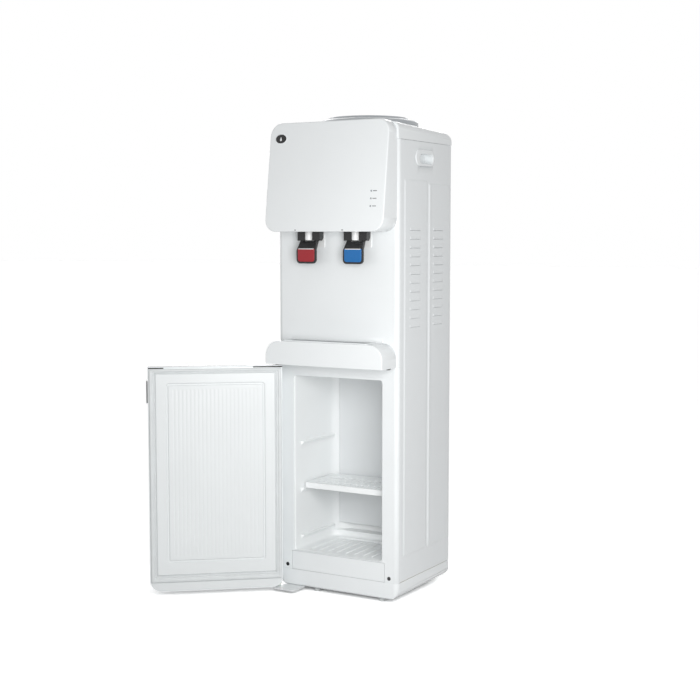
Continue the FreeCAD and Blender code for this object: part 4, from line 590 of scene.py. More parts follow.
class DISPENSER_OT_badge(bpy.types.Operator):
    """Oval badge: white ring, dark dome and a plain drop"""
    bl_idname = "dispenser.badge"
    bl_label = "Badge"

    def execute(self, context):
        """Ellipses scaled by a share of their size and raised; the drop is sin(t) sin(t/2)^1.5 wide."""
        centre_x, centre_z, wide, high = -117.5, 996.0, 14.6, 10.2
        angle = np.linspace(0, math.tau, 96, endpoint=False)

        def oval(profile):
            share, rise = np.array(profile).T[:, :, None]
            x = centre_x + wide * share * np.cos(angle)
            z = centre_z + high * share * np.sin(angle)
            return np.stack([x, head_front(z) - rise + 0 * x, z], -1)

        ring = oval([(0.99, -0.2), (1.0, 0.5), (0.99, 0.9), (0.965, 1.05), (0.94, 1.0), (0.93, 0.7),
                     (0.925, 0.0)])
        add_rings("badge_ring", "cabinet", ring, "white_shell", instead_of=("drop_badge",))
        dome = oval([(0.925, 0.0), (0.92, 0.5), (0.9, 0.7), (0.7, 0.85), (0.5, 0.95), (0.28, 1.0),
                     (0.1, 1.02)])
        add_rings("badge_dome", "cabinet", dome, "badge_dark")
        t = np.linspace(0, math.tau, 64, endpoint=False)
        rows = np.array([(1.0, 0.7), (1.0, 1.2), (0.85, 1.35), (0.5, 1.43), (0.15, 1.45)])
        x = centre_x + 3.0 * rows[:, :1] * np.sin(t) * np.sin(t / 2) ** 1.5
        z = centre_z + 4.4 * rows[:, :1] * np.cos(t) - 0.2
        drop = np.stack([x, head_front(z) - rows[:, 1:] + 0 * x, z], -1)
        add_rings("badge_drop", "cabinet", drop, "white_shell")
        return {"FINISHED"}


class DISPENSER_OT_indicators(bpy.types.Operator):
    """Three domed lenses, each with a plain bar beside it"""
    bl_idname = "dispenser.indicators"
    bl_label = "Indicators"

    def execute(self, context):
        """Discs whose rise falls off as 1 - s^2 from the middle; bars are thin rounded plates."""
        heights = 881.0 - 15.7 * np.arange(3)
        angle = np.linspace(0, math.tau, 40, endpoint=False)
        rows = np.array([(2.0, 4.0), (2.0, -0.2), (1.9, -0.45), (1.5, -0.62), (0.8, -0.75), (0.2, -0.78)])
        domes = []
        for height in heights:
            x = 113.5 + rows[:, :1] * np.cos(angle)
            z = height + rows[:, :1] * np.sin(angle)
            domes.append(np.stack([x, head_front(z) + rows[:, 1:] + 0 * x, z], -1))
        add_rings("indicator_domes", "cabinet", np.array(domes), "lens_clear",
                  instead_of=("indicator_lenses",))
        for index, height in enumerate(heights):
            rings = rim_rings((117.2, 126.8, height - 0.8, height + 0.8), (0.8,) * 4,
                              [(0.0, 0.3), (0.0, -0.06), (0.12, -0.12), (0.3, -0.12)], 5)
            rings[..., 1] += head_front(rings[..., 2])
            add_rings(f"indicator_bar_{index + 1}", "cabinet", rings, "mark_grey")
        return {"FINISHED"}


# ---------------------------------------------------------------- top

class DISPENSER_OT_bottle_seat(bpy.types.Operator):
    """Bottle collar and the funnel under it"""
    bl_idname = "dispenser.bottle_seat"
    bl_label = "Bottle collar and funnel"

    def execute(self, context):
        """Closed profiles with rounded corners, turned round the bottle's axis."""
        steps = context.scene.dispenser_sizes.turns
        collar = rounded_path([(71.5, 1000), (70, 1000), (70.4, 1003), (78, 1033), (78, 1044.5),
                               (79.6, 1047), (87.6, 1047), (89.2, 1045.4), (89.4, 1043.9), (92.5, 1042.9),
                               (107.2, 1039.4), (111.9, 1035.8),
                               (112, 1026.5), (109.3, 1026.5), (109.3, 1030), (79.4, 1030), (73, 1000),
                               (71.5, 1000)],
                              [0.4, 1, 3, 3, 1.2, 1.4, 0.6, 1.0, 3, 3.6, 0.9, 0.5, 0.5, 0.5, 0.5, 0.4])
        add_rings("bottle_collar_ring", "cabinet", turned(collar[:-1], BOTTLE_AXIS, steps), "collar_grey",
                  joined=True, instead_of=("bottle_collar",))
        funnel = rounded_path([(60, 989), (70, 1000), (73.4, 1000), (73.4, 996), (33, 968), (33, 950),
                               (20, 950), (20, 954), (29, 954), (29, 972), (60, 989)],
                              [0.8, 0.8, 1.5, 5, 1, 0.6, 0.6, 2, 6])
        add_rings("bottle_funnel_cup", "cabinet", turned(funnel[:-1], BOTTLE_AXIS, steps), "natural_plastic",
                  joined=True, instead_of=("bottle_funnel",))
        return {"FINISHED"}


# ---------------------------------------------------------------- sides

# Each field is (y0, y1, z0, z1), like the hole for the hand; a louvre's end is its y nearest the back.
FIELDS = ((-99.7, 8.5, 98.0, 909.0), (12.3, 118.0, 98.0, 903.0))
LOUVRE_ENDS = (-26.8, 82.6)
LOUVRES = 802.0 - 18.8 * np.arange(12)
LOUVRE_LENGTH = 48.0
SLOT_HALF = 1.6
SIDE_FACE = 149.2
HAND_HOLE = (-31.3, 35.3, 940.7, 966.3)
PANEL_LOW, PANEL_HIGH = 46.8, 989.4


class DISPENSER_OT_side_panels(bpy.types.Operator):
    """Side panels with two pressed fields and hooded louvres that open downwards"""
    bl_idname = "dispenser.side_panels"
    bl_label = "Side panels"

    def execute(self, context):
        """x = face + rise * ease(distance inside a field / slope) + bead + hood.

        The underside of each hood and the hand hole are left open.
        """
        sizes = context.scene.dispenser_sizes
        rise, slope = sizes.field_rise / MM, sizes.field_slope / MM
        hood, reach = sizes.hood_rise / MM, sizes.hood_reach / MM
        stops_y = [edge for field in FIELDS for edge in field[:2]]
        lines = lines_near(stops_y, 9.0, 1.0, -113.4, 123.4, 24)
        ends = [end - LOUVRE_LENGTH for end in LOUVRE_ENDS] + list(LOUVRE_ENDS)
        lines = np.unique(np.concatenate([lines] + [end + np.array([-2.4, -1.6, -0.8, 0, 0.8, 1.6, 2.4])
                                                    for end in ends] + [HAND_HOLE[:2]]))
        turn = np.radians(np.linspace(0, 90, 5))
        y_in = np.concatenate([[-115.0, -115.0], -113.4 - 1.6 * np.cos(turn[:-1]), lines,
                               123.4 + 1.6 * np.sin(turn[1:]), [125.0, 125.0]])
        x_in = np.concatenate([[SIDE_FACE - 14, SIDE_FACE - 2.4], SIDE_FACE - 1.6 + 1.6 * np.sin(turn[:-1]),
                               np.full(len(lines), SIDE_FACE), SIDE_FACE - 1.6 + 1.6 * np.cos(turn[1:]),
                               [SIDE_FACE - 2.4, SIDE_FACE - 14]])
        stops_z = [edge for field in FIELDS for edge in field[2:]]
        z = lines_near(stops_z, 9.0, 1.0, PANEL_LOW, PANEL_HIGH, 40)
        z = np.concatenate([z, PANEL_LOW + np.array([0.1, 0.5, 1.7]), PANEL_HIGH - np.array([1.7, 0.5, 0.1])])
        fine = np.array([-2.5, -0.03, 0.0, 0.5, 1.2, reach * 0.35, reach * 0.6, reach * 0.8, reach])
        slots = [height - SLOT_HALF + fine for height in LOUVRES]
        clear = z[(z < LOUVRES[-1] - 5) | (z > LOUVRES[0] + 8)]
        z = np.unique(np.concatenate([clear] + slots + [HAND_HOLE[2:]]))
        y, z = np.meshgrid(y_in, z)
        x = np.broadcast_to(x_in, y.shape).copy()
        for field in FIELDS:
            x += rise * ease(inside_distance(y, z, field, 6.0) / slope)
        bead = np.exp(-((y - FIELDS[1][0] - 6.0) / 3.0) ** 2)
        x += 0.5 * rise * bead * ease(inside_distance(y, z, FIELDS[1], 6.0) / slope)
        for end in LOUVRE_ENDS:
            along = ease((y - (end - LOUVRE_LENGTH)) / 1.6) * ease((end - y) / 1.6)
            for height in LOUVRES:
                above = (z - height + SLOT_HALF) / reach
                over = (above > -0.001) & (above <= 1)
                x += hood * along * np.where(over, 1 - ease(above * 1.08 - 0.08), 0)
        quads = grid_faces(*y.shape)
        mid_y, mid_z = (values.ravel()[quads].mean(1) for values in (y, z))
        gap = np.zeros(len(quads), bool)
        for end in LOUVRE_ENDS:
            across = (mid_y > end - LOUVRE_LENGTH) & (mid_y < end)
            gap |= across & (np.abs(mid_z[:, None] - LOUVRES[None] + SLOT_HALF).min(1) < 0.02)
        y0, y1, z0, z1 = HAND_HOLE
        gap |= (mid_y > y0) & (mid_y < y1) & (mid_z > z0) & (mid_z < z1)
        for side, sign in (("right", 1), ("left", -1)):
            panel = add_piece(f"{side}_side_skin", "cabinet", np.stack([x * sign, y, z], -1), quads[~gap],
                              "side_enamel", towards=(sign, 0, 0),
                              instead_of=(f"{side}_side_panel",))
            wall = panel.modifiers.new("Sheet", "SOLIDIFY")
            wall.thickness = 0.8 * MM
            wall.offset = -1
        return {"FINISHED"}


class DISPENSER_OT_hand_pockets(bpy.types.Operator):
    """Hand pockets in the side panels"""
    bl_idname = "dispenser.hand_pockets"
    bl_label = "Hand pockets"

    def execute(self, context):
        """Rings from the plate's outline to the pocket's, then down its wall to a flat back."""
        outer = rectangle_loop(-47.5, 40.0, 938.0, 973.0, (17.4,) * 4, 16)
        inner = rectangle_loop(-29.0, 33.0, 943.0, 964.0, (10.4,) * 4, 16)
        shrink = rectangle_loop(-26.5, 30.5, 945.5, 961.5, (7.9,) * 4, 16)
        top = SIDE_FACE + 1.8
        face = blended_rings(outer, inner, [(0, SIDE_FACE - 0.2), (0, SIDE_FACE + 0.9), (0.02, top - 0.35),
                                            (0.08, top - 0.05), (0.2, top), (0.75, top), (0.9, top - 0.1),
                                            (0.97, top - 0.6), (1, top - 1.6), (1, top - 12)])
        well = blended_rings(inner, shrink, [(0, SIDE_FACE - 15), (0.1, SIDE_FACE - 16.8),
                                             (0.45, SIDE_FACE - 17.8), (1, SIDE_FACE - 18)])
        rings = np.concatenate([face, well])
        count = rings.shape[1]
        back = [list(range((len(rings) - 1) * count, len(rings) * count))]
        for side, sign in (("right", 1), ("left", -1)):
            points = np.stack([rings[..., 1] * sign, rings[..., 0], rings[..., 2]], -1)
            quads = grid_faces(*rings.shape[:2], close_columns=True)
            add_piece(f"{side}_hand_pocket", "cabinet", points, quads, "white_shell", back,
                                     towards=(sign, 0, 0))
        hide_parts("side_handles")
        return {"FINISHED"}


# ---------------------------------------------------------------- cabinet inside

RAILS = (118.7, 224.7, 330.7)
TUB_LOW, TUB_HIGH = 90.0, 482.0


class DISPENSER_OT_cabinet_tub(bpy.types.Operator):
    """Moulded tub of the cabinet with its rails, rear step and ribbed floor"""
    bl_idname = "dispenser.cabinet_tub"
    bl_label = "Cabinet tub"

    def execute(self, context):
        """Wall point = outline + inward direction * (floor and roof rounding + rails + rear step)."""
        rail_rise = context.scene.dispenser_sizes.rail_rise / MM
        y_side = np.concatenate([[-121.9, -121.2, -119.0, -112.0], np.linspace(-103, -88, 16),
                                 np.linspace(-80, 25, 12)])
        turn = np.radians(np.linspace(0, 90, 15))[1:-1]
        left = np.column_stack([np.full(len(y_side), -110.0), y_side])
        corner = np.column_stack([-70 - 40 * np.cos(turn), 25 + 40 * np.sin(turn)])
        half = np.vstack([left, corner, [[-70.0, 65.0]], [[-35.0, 65.0]]])
        outline = np.vstack([half, [[0.0, 65.0]], half[::-1] * [-1, 1]])
        inward = np.column_stack([np.zeros(len(left)) + 1, np.zeros(len(left))])
        inward = np.vstack([inward, np.column_stack([np.cos(turn), -np.sin(turn)]), [[0.0, -1.0]] * 2])
        inward = np.vstack([inward, [[0.0, -1.0]], inward[::-1] * [-1, 1]])
        round_low = 7.0
        bend = np.radians(np.linspace(0, 90, 7))
        low_z = TUB_LOW + round_low - round_low * np.cos(bend)
        low_in = round_low - round_low * np.sin(bend)
        rails = np.concatenate([top + np.array([-9.5, -8, -6, -4, -3, -2, -0.9, -0.3, 0.0, 0.4, 1.2, 3])
                                for top in RAILS])
        middle = np.unique(np.concatenate([rails, [101, 103, 104.5, 105.5, 106.2, 108],
                                           np.linspace(130, 470, 18)]))
        z = np.concatenate([low_z, middle, TUB_HIGH - low_z[::-1] + TUB_LOW])
        inset = np.concatenate([low_in, np.zeros(len(middle)), low_in[::-1]])
        rail = np.zeros(len(z))
        for top in RAILS:
            rail = np.maximum(rail, np.interp(z, [top - 9, top - 6, top - 3, top - 0.9, top, top + 0.4],
                                              [0, 0.55, 0.97, 1, 0.82, 0]))
        y = outline[:, 1]
        along = ease((y + 99) / 3.0) * ease((43 - y) / 6.0) * (np.abs(inward[:, 0]) > 0.5)
        nose = np.exp(-((y + 96) / 2.4) ** 2) * (np.abs(inward[:, 0]) > 0.9)
        step = 17.0 * (1 - ease((z - 103.0) / 3.5))
        rear = np.clip(-inward[:, 1], 0, 1) ** 2
        depth = inset[:, None] + rail_rise * rail[:, None] * along[None] + 1.4 * rail[:, None] * nose[None]
        depth = depth + step[:, None] * rear[None]
        flat = outline[None] + inward[None] * depth[..., None]
        points = np.dstack([flat, np.broadcast_to(z[:, None], flat.shape[:2])])
        count = len(outline)
        roof = [list(range((len(z) - 1) * count, len(z) * count))]
        quads = grid_faces(*points.shape[:2])
        points = points.reshape(-1, 3)
        add_piece("cabinet_tub_walls", "cabinet", points, quads, "cavity_white", roof, towards=(0, -1, 0),
                  instead_of=("cabinet_liner",))
        self.floor()
        outer = rectangle_loop(-118.0, 118.0, 84.0, 490.0, (8.0,) * 4, 12)
        inner = rectangle_loop(-109.6, 109.6, 90.4, 481.6, (7.0,) * 4, 12)
        lip = [(0, -120.4), (0, -121.8), (0.3, -121.8), (0.7, -121.8), (0.86, -121.6), (0.95, -121.0),
               (0.99, -120.2), (1, -119.2), (1, -113.0)]
        rings = blended_rings(outer, inner, lip)
        add_rings("cabinet_tub_lip", "cabinet", rings, "cavity_white", towards=(0, -1, 0))
        return {"FINISHED"}

    def floor(self):
        """Floor: z = low - 3 * ease(distance inside the recess) + ribs; as wide as the tub's outline."""
        y = lines_near([-100, 36], 4.0, 0.8, -121.9, 50.0, 30)
        x = lines_near([-88, 88], 4.0, 0.8, -104.0, 104.0, 14)
        ribs = np.arange(-66, 67, 22.0)
        x = np.unique(np.concatenate([x] + [rib + np.array([-2.2, -1.5, -1.0, 0, 1.0, 1.5, 2.2])
                                            for rib in ribs]))
        width = np.where(y > 25, 70 + np.sqrt(np.maximum(33.0 ** 2 - (y - 25) ** 2, 0)), 103.2)
        x, y = np.meshgrid(x, y)
        dip = ease(inside_distance(x, y, (-88, 88, -100, 36), 10.0) / 2.5)
        rib = sum(ease((2.2 - np.abs(x - centre)) / 1.2) for centre in ribs)
        rib = rib * ease((y + 92) / 3) * ease((28 - y) / 3)
        z = TUB_LOW - 3.0 * dip + 2.2 * rib
        spread = np.where(np.abs(x) > 88, 88 + (np.abs(x) - 88) / 16 * (width[:, None] - 88), np.abs(x))
        add_piece("cabinet_tub_floor", "cabinet", np.stack([spread * np.sign(x), y, z], -1),
                  grid_faces(*x.shape), "cavity_white", towards=(0, 0, 1))


# ---------------------------------------------------------------- door

class DISPENSER_OT_door_inner(bpy.types.Operator):
    """Inner door panel: flat border, raised field, groove and upright flutes"""
    bl_idname = "dispenser.door_inner"
    bl_label = "Inner door panel"

    def execute(self, context):
        """h = 3 * ease(distance from edge) - 2.4 * groove - flute depth * cubed cosine ridges inside it."""
        sizes = context.scene.dispenser_sizes
        groove, flute = sizes.groove_width / MM / 2, sizes.flute_depth / MM
        box = (-131.6, 131.6, 46.1, 492.4)
        centre = (-105.0, 105.0, 78.0, 467.5)
        pitch = 2 * 95.0 / sizes.flutes
        x = np.unique(np.concatenate([lines_near([-131, -105, 105, 131], 5.0, 0.6, *box[:2], 20),
                                      np.linspace(-97, 97, int(194 / pitch * 10) + 1)]))
        z = lines_near([46.6, 78, 92, 453, 467.5, 492], 5.0, 0.6, *box[2:], 24)
        x, z = np.meshgrid(x, z)
        field = ease((inside_distance(x, z, box, 5.0) - 0.2) / 3.0)
        ring = ease(1.6 - np.abs(inside_distance(x, z, centre, 5.0)) / groove)
        inner = ease((inside_distance(x, z, centre, 5.0) - 9) / 4.0)
        ridge = 0.5 - 0.5 * np.cos(math.tau * x / pitch)
        height = 3.0 * field - 2.4 * ring - flute * inner * ridge ** 3
        points = np.stack([x, -131.0 + height, z], -1)
        add_piece("door_inner_field", "door", points, grid_faces(*x.shape), "door_panel", towards=(0, 1, 0),
                  instead_of=("door_liner",))
        outer = rectangle_loop(-142.8, 142.8, 14.0, 499.8, (21.8, 21.8, 0.3, 0.3), 10)
        inner = rectangle_loop(-131.2, 131.2, 46.5, 492.0, (5.0,) * 4, 10)
        rings = blended_rings(outer, inner, [(0, -133.4), (0, -131.0), (0.5, -131.0), (1, -131.0)])
        add_rings("door_inner_border", "door", rings, "door_panel", towards=(0, 1, 0))
        return {"FINISHED"}


class DISPENSER_OT_door_seal(bpy.types.Operator):
    """Door seal with a soft lip and a folded inner edge"""
    bl_idname = "dispenser.door_seal"
    bl_label = "Door seal"

    def execute(self, context):
        """Rings from the seal's outer to its inner outline, raised by the lip's section."""
        outer = rectangle_loop(-143.8, 143.8, 31.6, 501.0, (2.0,) * 4, 8)
        inner = rectangle_loop(-131.9, 131.9, 45.8, 492.7, (4.0,) * 4, 8)
        section = rounded_path([(0.02, 0.0), (0.0, 1.4), (0.05, 2.2), (0.02, 3.2), (0.16, 5.3), (0.44, 5.4),
                                (0.58, 4.4), (0.64, 2.6), (0.76, 2.3), (0.84, 3.5), (0.97, 3.1), (1.0, 0.2)],
                               [0.1, 0.3, 0.3, 0.5, 0.3, 0.3, 0.3, 0.3, 0.3, 0.2], 4)
        profile = [(share, -131.0 + height) for share, height in section]
        rings = blended_rings(outer, inner, profile)
        add_rings("door_seal_lip", "door", rings, "seal_grey", joined=True, sharp=50,
                  instead_of=("door_gasket",))
        return {"FINISHED"}


def plain_block(name, body, box, finish, radius):
    """Small block (x0, x1, y0, y1, z0, z1) with eased edges along its rim."""
    x0, x1, y0, y1, z0, z1 = box
    step = math.copysign(radius, y1 - y0)
    rings = rim_rings((x0, x1, z0, z1), (radius * 2,) * 4,
                      [(0.0, y0), (0.0, y1 - step), (radius * 0.3, y1 - step * 0.3), (radius, y1)], 4)
    return add_rings(name, body, rings, finish)


class DISPENSER_OT_door_cap(bpy.types.Operator):
    """White cap along the door's top with a dark strip let into it, a groove below, and black blocks at the
    groove's two ends as painted shade
    """
    bl_idname = "dispenser.door_cap"
    bl_label = "Door cap"

    def execute(self, context):
        """Loops round the door's plan, drawn in by each row's inset: a groove, a wall and a rounded top."""
        def stack(profile):
            rings = rim_rings((-146.0, 146.0, -187.0, -131.0), (14.0, 14.0, 1.5, 1.5), profile, 12)
            return rings[..., [0, 2, 1]]

        body = stack([(1.6, 503.0), (1.6, 504.3), (1.5, 504.5), (0.1, 504.6), (0.0, 504.8), (0.0, 506.3),
                      (0.12, 506.6), (0.4, 506.75), (1.0, 506.8)])
        add_rings("door_cap_body", "door", body, "white_shell", instead_of=("door_top_cap",))
        strip = stack([(0.7, 506.5), (0.7, 506.85), (0.8, 506.97), (1.0, 507.0)])
        add_rings("door_cap_strip", "door", strip, "dark_strip")
        # Painted shade: black blocks in the groove at its hinge and grip ends stand in for the shade there.
        for name, x0, x1 in (("hinge", -145.6, -82.0), ("grip", 112.0, 145.0)):
            plain_block(f"{name}_side_slit", "door", (x0, x1, -132.0, -130.8, 502.0, 504.3),
                        "black_rubber", 0.1)
        return {"FINISHED"}


class DISPENSER_OT_seam_shadows(bpy.types.Operator):
    """Painted shadow in the seam under the ledge, a thin dark strip, and the two catch holes at the head's
    lower edge
    """
    bl_idname = "dispenser.seams"
    bl_label = "Seam shadows and catches"

    def execute(self, context):
        """Thin blocks; the black strip on the frame paints the ledge's shadow in the seam, the catch holes
        follow the head's leaning front.
        """
        # Painted shadow: a thin black strip on the frame just under the ledge's front edge, where the ledge
        # shades the seam.
        plain_block("ledge_seam", "cabinet", (-124.0, 118.0, -124.9, -125.25, 505.1, 505.7),
                    "black_rubber", 0.05)
        y = head_front(800.5)
        for index, x in enumerate((-67.0, 49.5)):
            plain_block(f"head_catch_{index + 1}", "cabinet",
                        (x - 2.2, x + 2.2, y + 0.5, y - 0.1, 799.7, 801.3), "black_rubber", 0.1)
        return {"FINISHED"}


# ---------------------------------------------------------------- taps

class DISPENSER_OT_tap_inserts(bpy.types.Operator):
    """Coloured inserts in the tap paddles, each with a white strip on its top edge as a painted highlight"""
    bl_idname = "dispenser.tap_inserts"
    bl_label = "Tap inserts"

    def execute(self, context):
        """Rings of a rounded rectangle with a quarter-round rim and a crown of 1 - s^2 on the face; a thin
        white block on the top edge is a painted highlight.
        """
        turn = np.radians(np.linspace(0, 90, 6))
        rim = np.column_stack([0.9 - 0.9 * np.cos(turn), -157.2 - 0.7 * np.sin(turn)])
        profile = np.vstack([[0.0, -156.0], rim, [3.0, -158.02], [6.0, -158.1], [10.0, -158.16],
                             [13.0, -158.18]])
        for name, finish in (("hot", "red_plastic"), ("cold", "blue_plastic")):
            x = TAPS[name]
            rings = rim_rings((x - 21, x + 21, 733.0, 761.0), (6.0, 6.0, 2.0, 2.0), profile, 10)
            add_rings(f"{name}_tap_insert", f"{name}_tap_lever", rings, finish,
                      instead_of=(f"{name}_insert",))
            # Painted highlight: a thin white block along the insert's top edge stands in for the light that
            # edge catches.
            plain_block(f"{name}_insert_edge", f"{name}_tap_lever",
                        (x - 19.0, x + 19.0, -157.0, -158.1, 759.6, 761.2), "spout_white", 0.2)
        return {"FINISHED"}


class DISPENSER_OT_spouts(bpy.types.Operator):
    """White spouts behind the paddles"""
    bl_idname = "dispenser.spouts"
    bl_label = "Spouts"

    def execute(self, context):
        """A tube's closed section with a rounded mouth, turned round each spout's axis."""
        section = rounded_path([(6.2, 779), (7.6, 779), (8.0, 783), (8.0, 797), (4.5, 797), (4.5, 781),
                                (5.0, 779), (6.2, 779)], [0.5, 1.0, 0.3, 0.3, 0.6, 0.4], 4)
        spouts = np.array([turned(section[:-1], (x, -146.0), 48) for x in TAPS.values()])
        add_rings("tap_spouts", "cabinet", spouts, "spout_white", joined=True, instead_of=("tap_nozzles",))
        return {"FINISHED"}


# ---------------------------------------------------------------- small parts

FEET = ((-60, -108), (104, -108), (-112, 80), (112, 80))


class DISPENSER_OT_feet(bpy.types.Operator):
    """Ribbed rubber feet"""
    bl_idname = "dispenser.feet"
    bl_label = "Feet"

    def execute(self, context):
        """A stepped section turned round each foot's axis."""
        section = rounded_path([(0.5, 0), (6.9, 0), (8.0, 1.4), (8.0, 3.0), (7.4, 3.6), (7.4, 4.6), (8.0, 5.2),
                                (8.0, 6.6), (7.4, 7.2), (7.4, 8.2), (8.0, 8.8), (8.0, 10.0),
                                (3.9, 10.0), (3.9, 19.0), (0.5, 19.0)], 0.4, 3)
        feet = np.array([turned(section, place, 40) for place in FEET])
        add_rings("ribbed_feet", "cabinet", feet, "pale_rubber", instead_of=("rubber_feet",))
        return {"FINISHED"}


class DISPENSER_OT_screws(bpy.types.Operator):
    """Pan-head screws with cross slots on the back"""
    bl_idname = "dispenser.screws"
    bl_label = "Back screws"

    def execute(self, context):
        """Dome 2 sqrt(1 - s^2) less a cross-shaped pocket, on a grid of rings."""
        angle = np.linspace(0, math.tau, 48, endpoint=False)
        share = np.array([1.0, 0.97, 0.9, 0.8, 0.68, 0.58, 0.5, 0.42, 0.3, 0.18, 0.06])[:, None]
        dome = 0.5 + 1.5 * np.sqrt(np.maximum(1 - share ** 2, 0)) + 0 * angle
        dx, dz = 3.6 * share * np.cos(angle), 3.6 * share * np.sin(angle)
        arm = np.minimum(np.abs(dx), np.abs(dz))
        slot = ease((0.62 - arm) / 0.2) * ease((2.1 - 3.6 * share) / 0.3)
        rise = dome - 1.1 * slot
        heads = np.array([np.stack([x + dx, 104.5 + np.minimum(rise, 2.0), z + dz], -1)
                          for x in (-138.0, 138.0) for z in (80.0, 300.0, 520.0, 740.0, 960.0)])
        add_rings("back_screws", "cabinet", heads, "bright_steel", instead_of=("rear_screws",))
        return {"FINISHED"}


# ---------------------------------------------------------------- stage

KEY_PLACE, KEY_TARGET = (0.80, -1.05, 0.67), (0, -0.1, 0.55)
CAMERA_PLACE = (1.4455, -2.5434, 0.78715)
CAMERA_DIP, CAMERA_TURN = 4.9635, 30.295


def area_light(name, place, target, size, power):
    """Square light of a size that looks at a target."""
    lamp = bpy.data.lights.new(name, "AREA")
    lamp.shape = "RECTANGLE"
    lamp.size, lamp.size_y = size
    lamp.energy = power
    light = bpy.data.objects.new(name, lamp)
    bpy.context.collection.objects.link(light)
    light.location = place
    away = light.location - type(light.location)(target)
    light.rotation_euler = away.to_track_quat("Z", "Y").to_euler()
    return light


def wide_sun(name, azimuth, elevation, spread, strength):
    """Even light from a direction round the object: azimuth 0 is the front, 90 the right."""
    lamp = bpy.data.lights.new(name, "SUN")
    lamp.energy = strength
    lamp.angle = math.radians(spread)
    light = bpy.data.objects.new(name, lamp)
    bpy.context.collection.objects.link(light)
    light.rotation_euler = (math.radians(90 - elevation), 0.0, math.radians(azimuth))
    return light


def seen_directly(nodes, links):
    """1 for camera, glossy and transmission rays, 0 for the rays that light things."""
    path = nodes.new("ShaderNodeLightPath")
    total = path.outputs["Is Camera Ray"]
    for ray in ("Is Glossy Ray", "Is Transmission Ray"):
        either = nodes.new("ShaderNodeMath")
        either.operation = "MAXIMUM"
        links.new(total, either.inputs[0])
        links.new(path.outputs[ray], either.inputs[1])
        total = either.outputs[0]
    return total


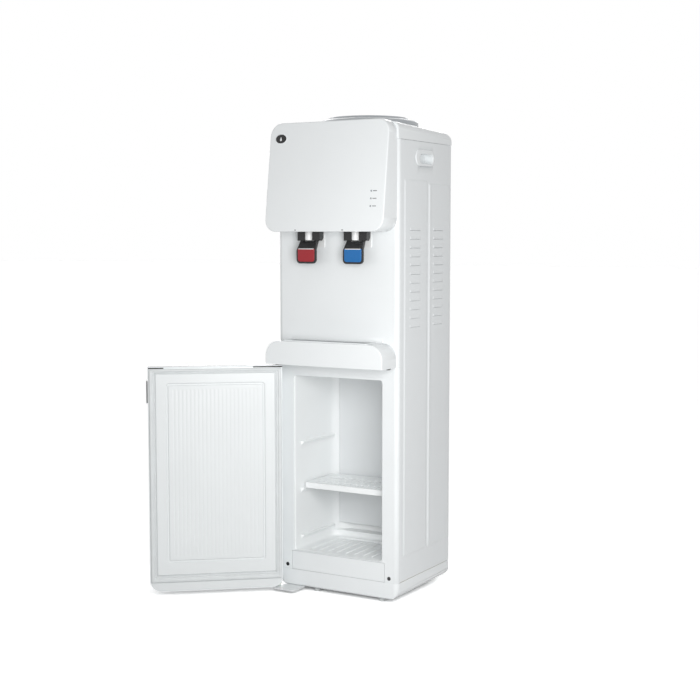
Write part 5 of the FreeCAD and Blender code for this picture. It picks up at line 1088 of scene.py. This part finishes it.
class DISPENSER_OT_stage(bpy.types.Operator):
    """Floor, soft light, white surroundings and camera"""
    bl_idname = "dispenser.stage"
    bl_label = "Stage"

    def execute(self, context):
        """The floor is white to the camera where it is fully lit, and keeps the object's shadow."""
        stage = context.scene.dispenser_stage
        self.floor(stage)
        self.world(context, stage)
        area_light("key_light", KEY_PLACE, KEY_TARGET, (0.5, 0.7), stage.key_power)
        wide_sun("front_light", 12.0, 5.0, 40.0, stage.front_sun)
        wide_sun("back_light", 215.0, 8.0, 36.0, stage.back_sun)
        camera = bpy.data.cameras.new("camera")
        camera.lens = stage.focal_length
        camera.sensor_width = 36.0
        camera.clip_end = 50.0
        view = bpy.data.objects.new("camera", camera)
        context.collection.objects.link(view)
        view.location = CAMERA_PLACE
        view.rotation_euler = (math.radians(90 - CAMERA_DIP), 0.0, math.radians(CAMERA_TURN))
        context.scene.camera = view
        context.scene.view_settings.view_transform = "Standard"
        return {"FINISHED"}

    def floor(self, stage):
        """Large plane; the camera sees it in a brighter colour than the lights do, so its shadows stay."""
        mesh = bpy.data.meshes.new("floor")
        mesh.from_pydata([(-30, -30, 0), (30, -30, 0), (30, 30, 0), (-30, 30, 0)], [], [(0, 1, 2, 3)])
        floor = bpy.data.objects.new("floor", mesh)
        bpy.context.collection.objects.link(floor)
        material = bpy.data.materials.new("floor_paper")
        material.use_nodes = True
        nodes, links = material.node_tree.nodes, material.node_tree.links
        nodes.remove(nodes["Principled BSDF"])
        shade = nodes.new("ShaderNodeMapRange")
        shade.inputs["To Min"].default_value = stage.floor_shade
        shade.inputs["To Max"].default_value = stage.floor_mirrored
        links.new(seen_directly(nodes, links), shade.inputs["Value"])
        bright = nodes.new("ShaderNodeMath")
        bright.operation = "MULTIPLY_ADD"
        links.new(nodes.new("ShaderNodeLightPath").outputs["Is Camera Ray"], bright.inputs[0])
        bright.inputs[1].default_value = stage.floor_seen - stage.floor_mirrored
        links.new(shade.outputs["Result"], bright.inputs[2])
        matt = nodes.new("ShaderNodeBsdfDiffuse")
        links.new(bright.outputs[0], matt.inputs["Color"])
        links.new(matt.outputs[0], nodes["Material Output"].inputs["Surface"])
        mesh.materials.append(material)

    def world(self, context, stage):
        """White where it is seen; as a light it falls from its eye-level strength to its overhead one."""
        world = bpy.data.worlds.new("surroundings")
        context.scene.world = world
        world.use_nodes = True
        nodes, links = world.node_tree.nodes, world.node_tree.links
        sky = nodes["Background"]
        sky.inputs["Color"].default_value = (1, 1, 1, 1)
        split = nodes.new("ShaderNodeSeparateXYZ")
        links.new(nodes.new("ShaderNodeTexCoord").outputs["Generated"], split.inputs[0])
        height = nodes.new("ShaderNodeMapRange")
        height.interpolation_type = "SMOOTHSTEP"
        height.inputs["From Min"].default_value = 0.1
        height.inputs["From Max"].default_value = 0.75
        height.inputs["To Min"].default_value = stage.horizon
        height.inputs["To Max"].default_value = stage.zenith
        links.new(split.outputs["Z"], height.inputs["Value"])
        strength = nodes.new("ShaderNodeMapRange")
        strength.inputs["To Max"].default_value = 1.0
        links.new(height.outputs["Result"], strength.inputs["To Min"])
        links.new(seen_directly(nodes, links), strength.inputs["Value"])
        links.new(strength.outputs["Result"], sky.inputs["Strength"])


# ---------------------------------------------------------------- add-on

OPERATORS = (
    DISPENSER_OT_finishes, DISPENSER_OT_head_plate, DISPENSER_OT_badge, DISPENSER_OT_indicators,
    DISPENSER_OT_bottle_seat, DISPENSER_OT_side_panels, DISPENSER_OT_hand_pockets, DISPENSER_OT_cabinet_tub,
    DISPENSER_OT_door_inner, DISPENSER_OT_door_seal, DISPENSER_OT_door_cap, DISPENSER_OT_seam_shadows,
    DISPENSER_OT_tap_inserts, DISPENSER_OT_spouts, DISPENSER_OT_feet, DISPENSER_OT_screws,
    DISPENSER_OT_stage,
)


class DISPENSER_PT_panel(bpy.types.Panel):
    """Lists the dispenser's settings and pieces"""
    bl_idname = "DISPENSER_PT_panel"
    bl_label = "Water dispenser"
    bl_space_type = "VIEW_3D"
    bl_region_type = "UI"
    bl_category = "Dispenser"

    def draw(self, context):
        """Draws the settings, then a button for each operator in building order."""
        for settings in ("dispenser_colours", "dispenser_sizes", "dispenser_stage"):
            group = getattr(context.scene, settings)
            column = self.layout.column(align=True)
            for key in group.__annotations__:
                column.prop(group, key)
        for operator in OPERATORS:
            self.layout.operator(operator.bl_idname)


SETTINGS = {"dispenser_colours": DispenserColours, "dispenser_sizes": DispenserSizes,
            "dispenser_stage": StageSettings}
CLASSES = (*SETTINGS.values(), *OPERATORS, DISPENSER_PT_panel)


def register():
    """Registers the classes and hangs the settings on the scene."""
    for item in CLASSES:
        bpy.utils.register_class(item)
    for name, group in SETTINGS.items():
        setattr(bpy.types.Scene, name, PointerProperty(type=group))


def unregister():
    """Takes the settings and the classes away again."""
    for name in SETTINGS:
        delattr(bpy.types.Scene, name)
    for item in reversed(CLASSES):
        bpy.utils.unregister_class(item)


def main():
    """Registers the add-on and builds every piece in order."""
    register()
    for operator in OPERATORS:
        group, name = operator.bl_idname.split(".")
        getattr(getattr(bpy.ops, group), name)()
    bpy.context.view_layer.update()


if __name__ == "__main__":
    main()
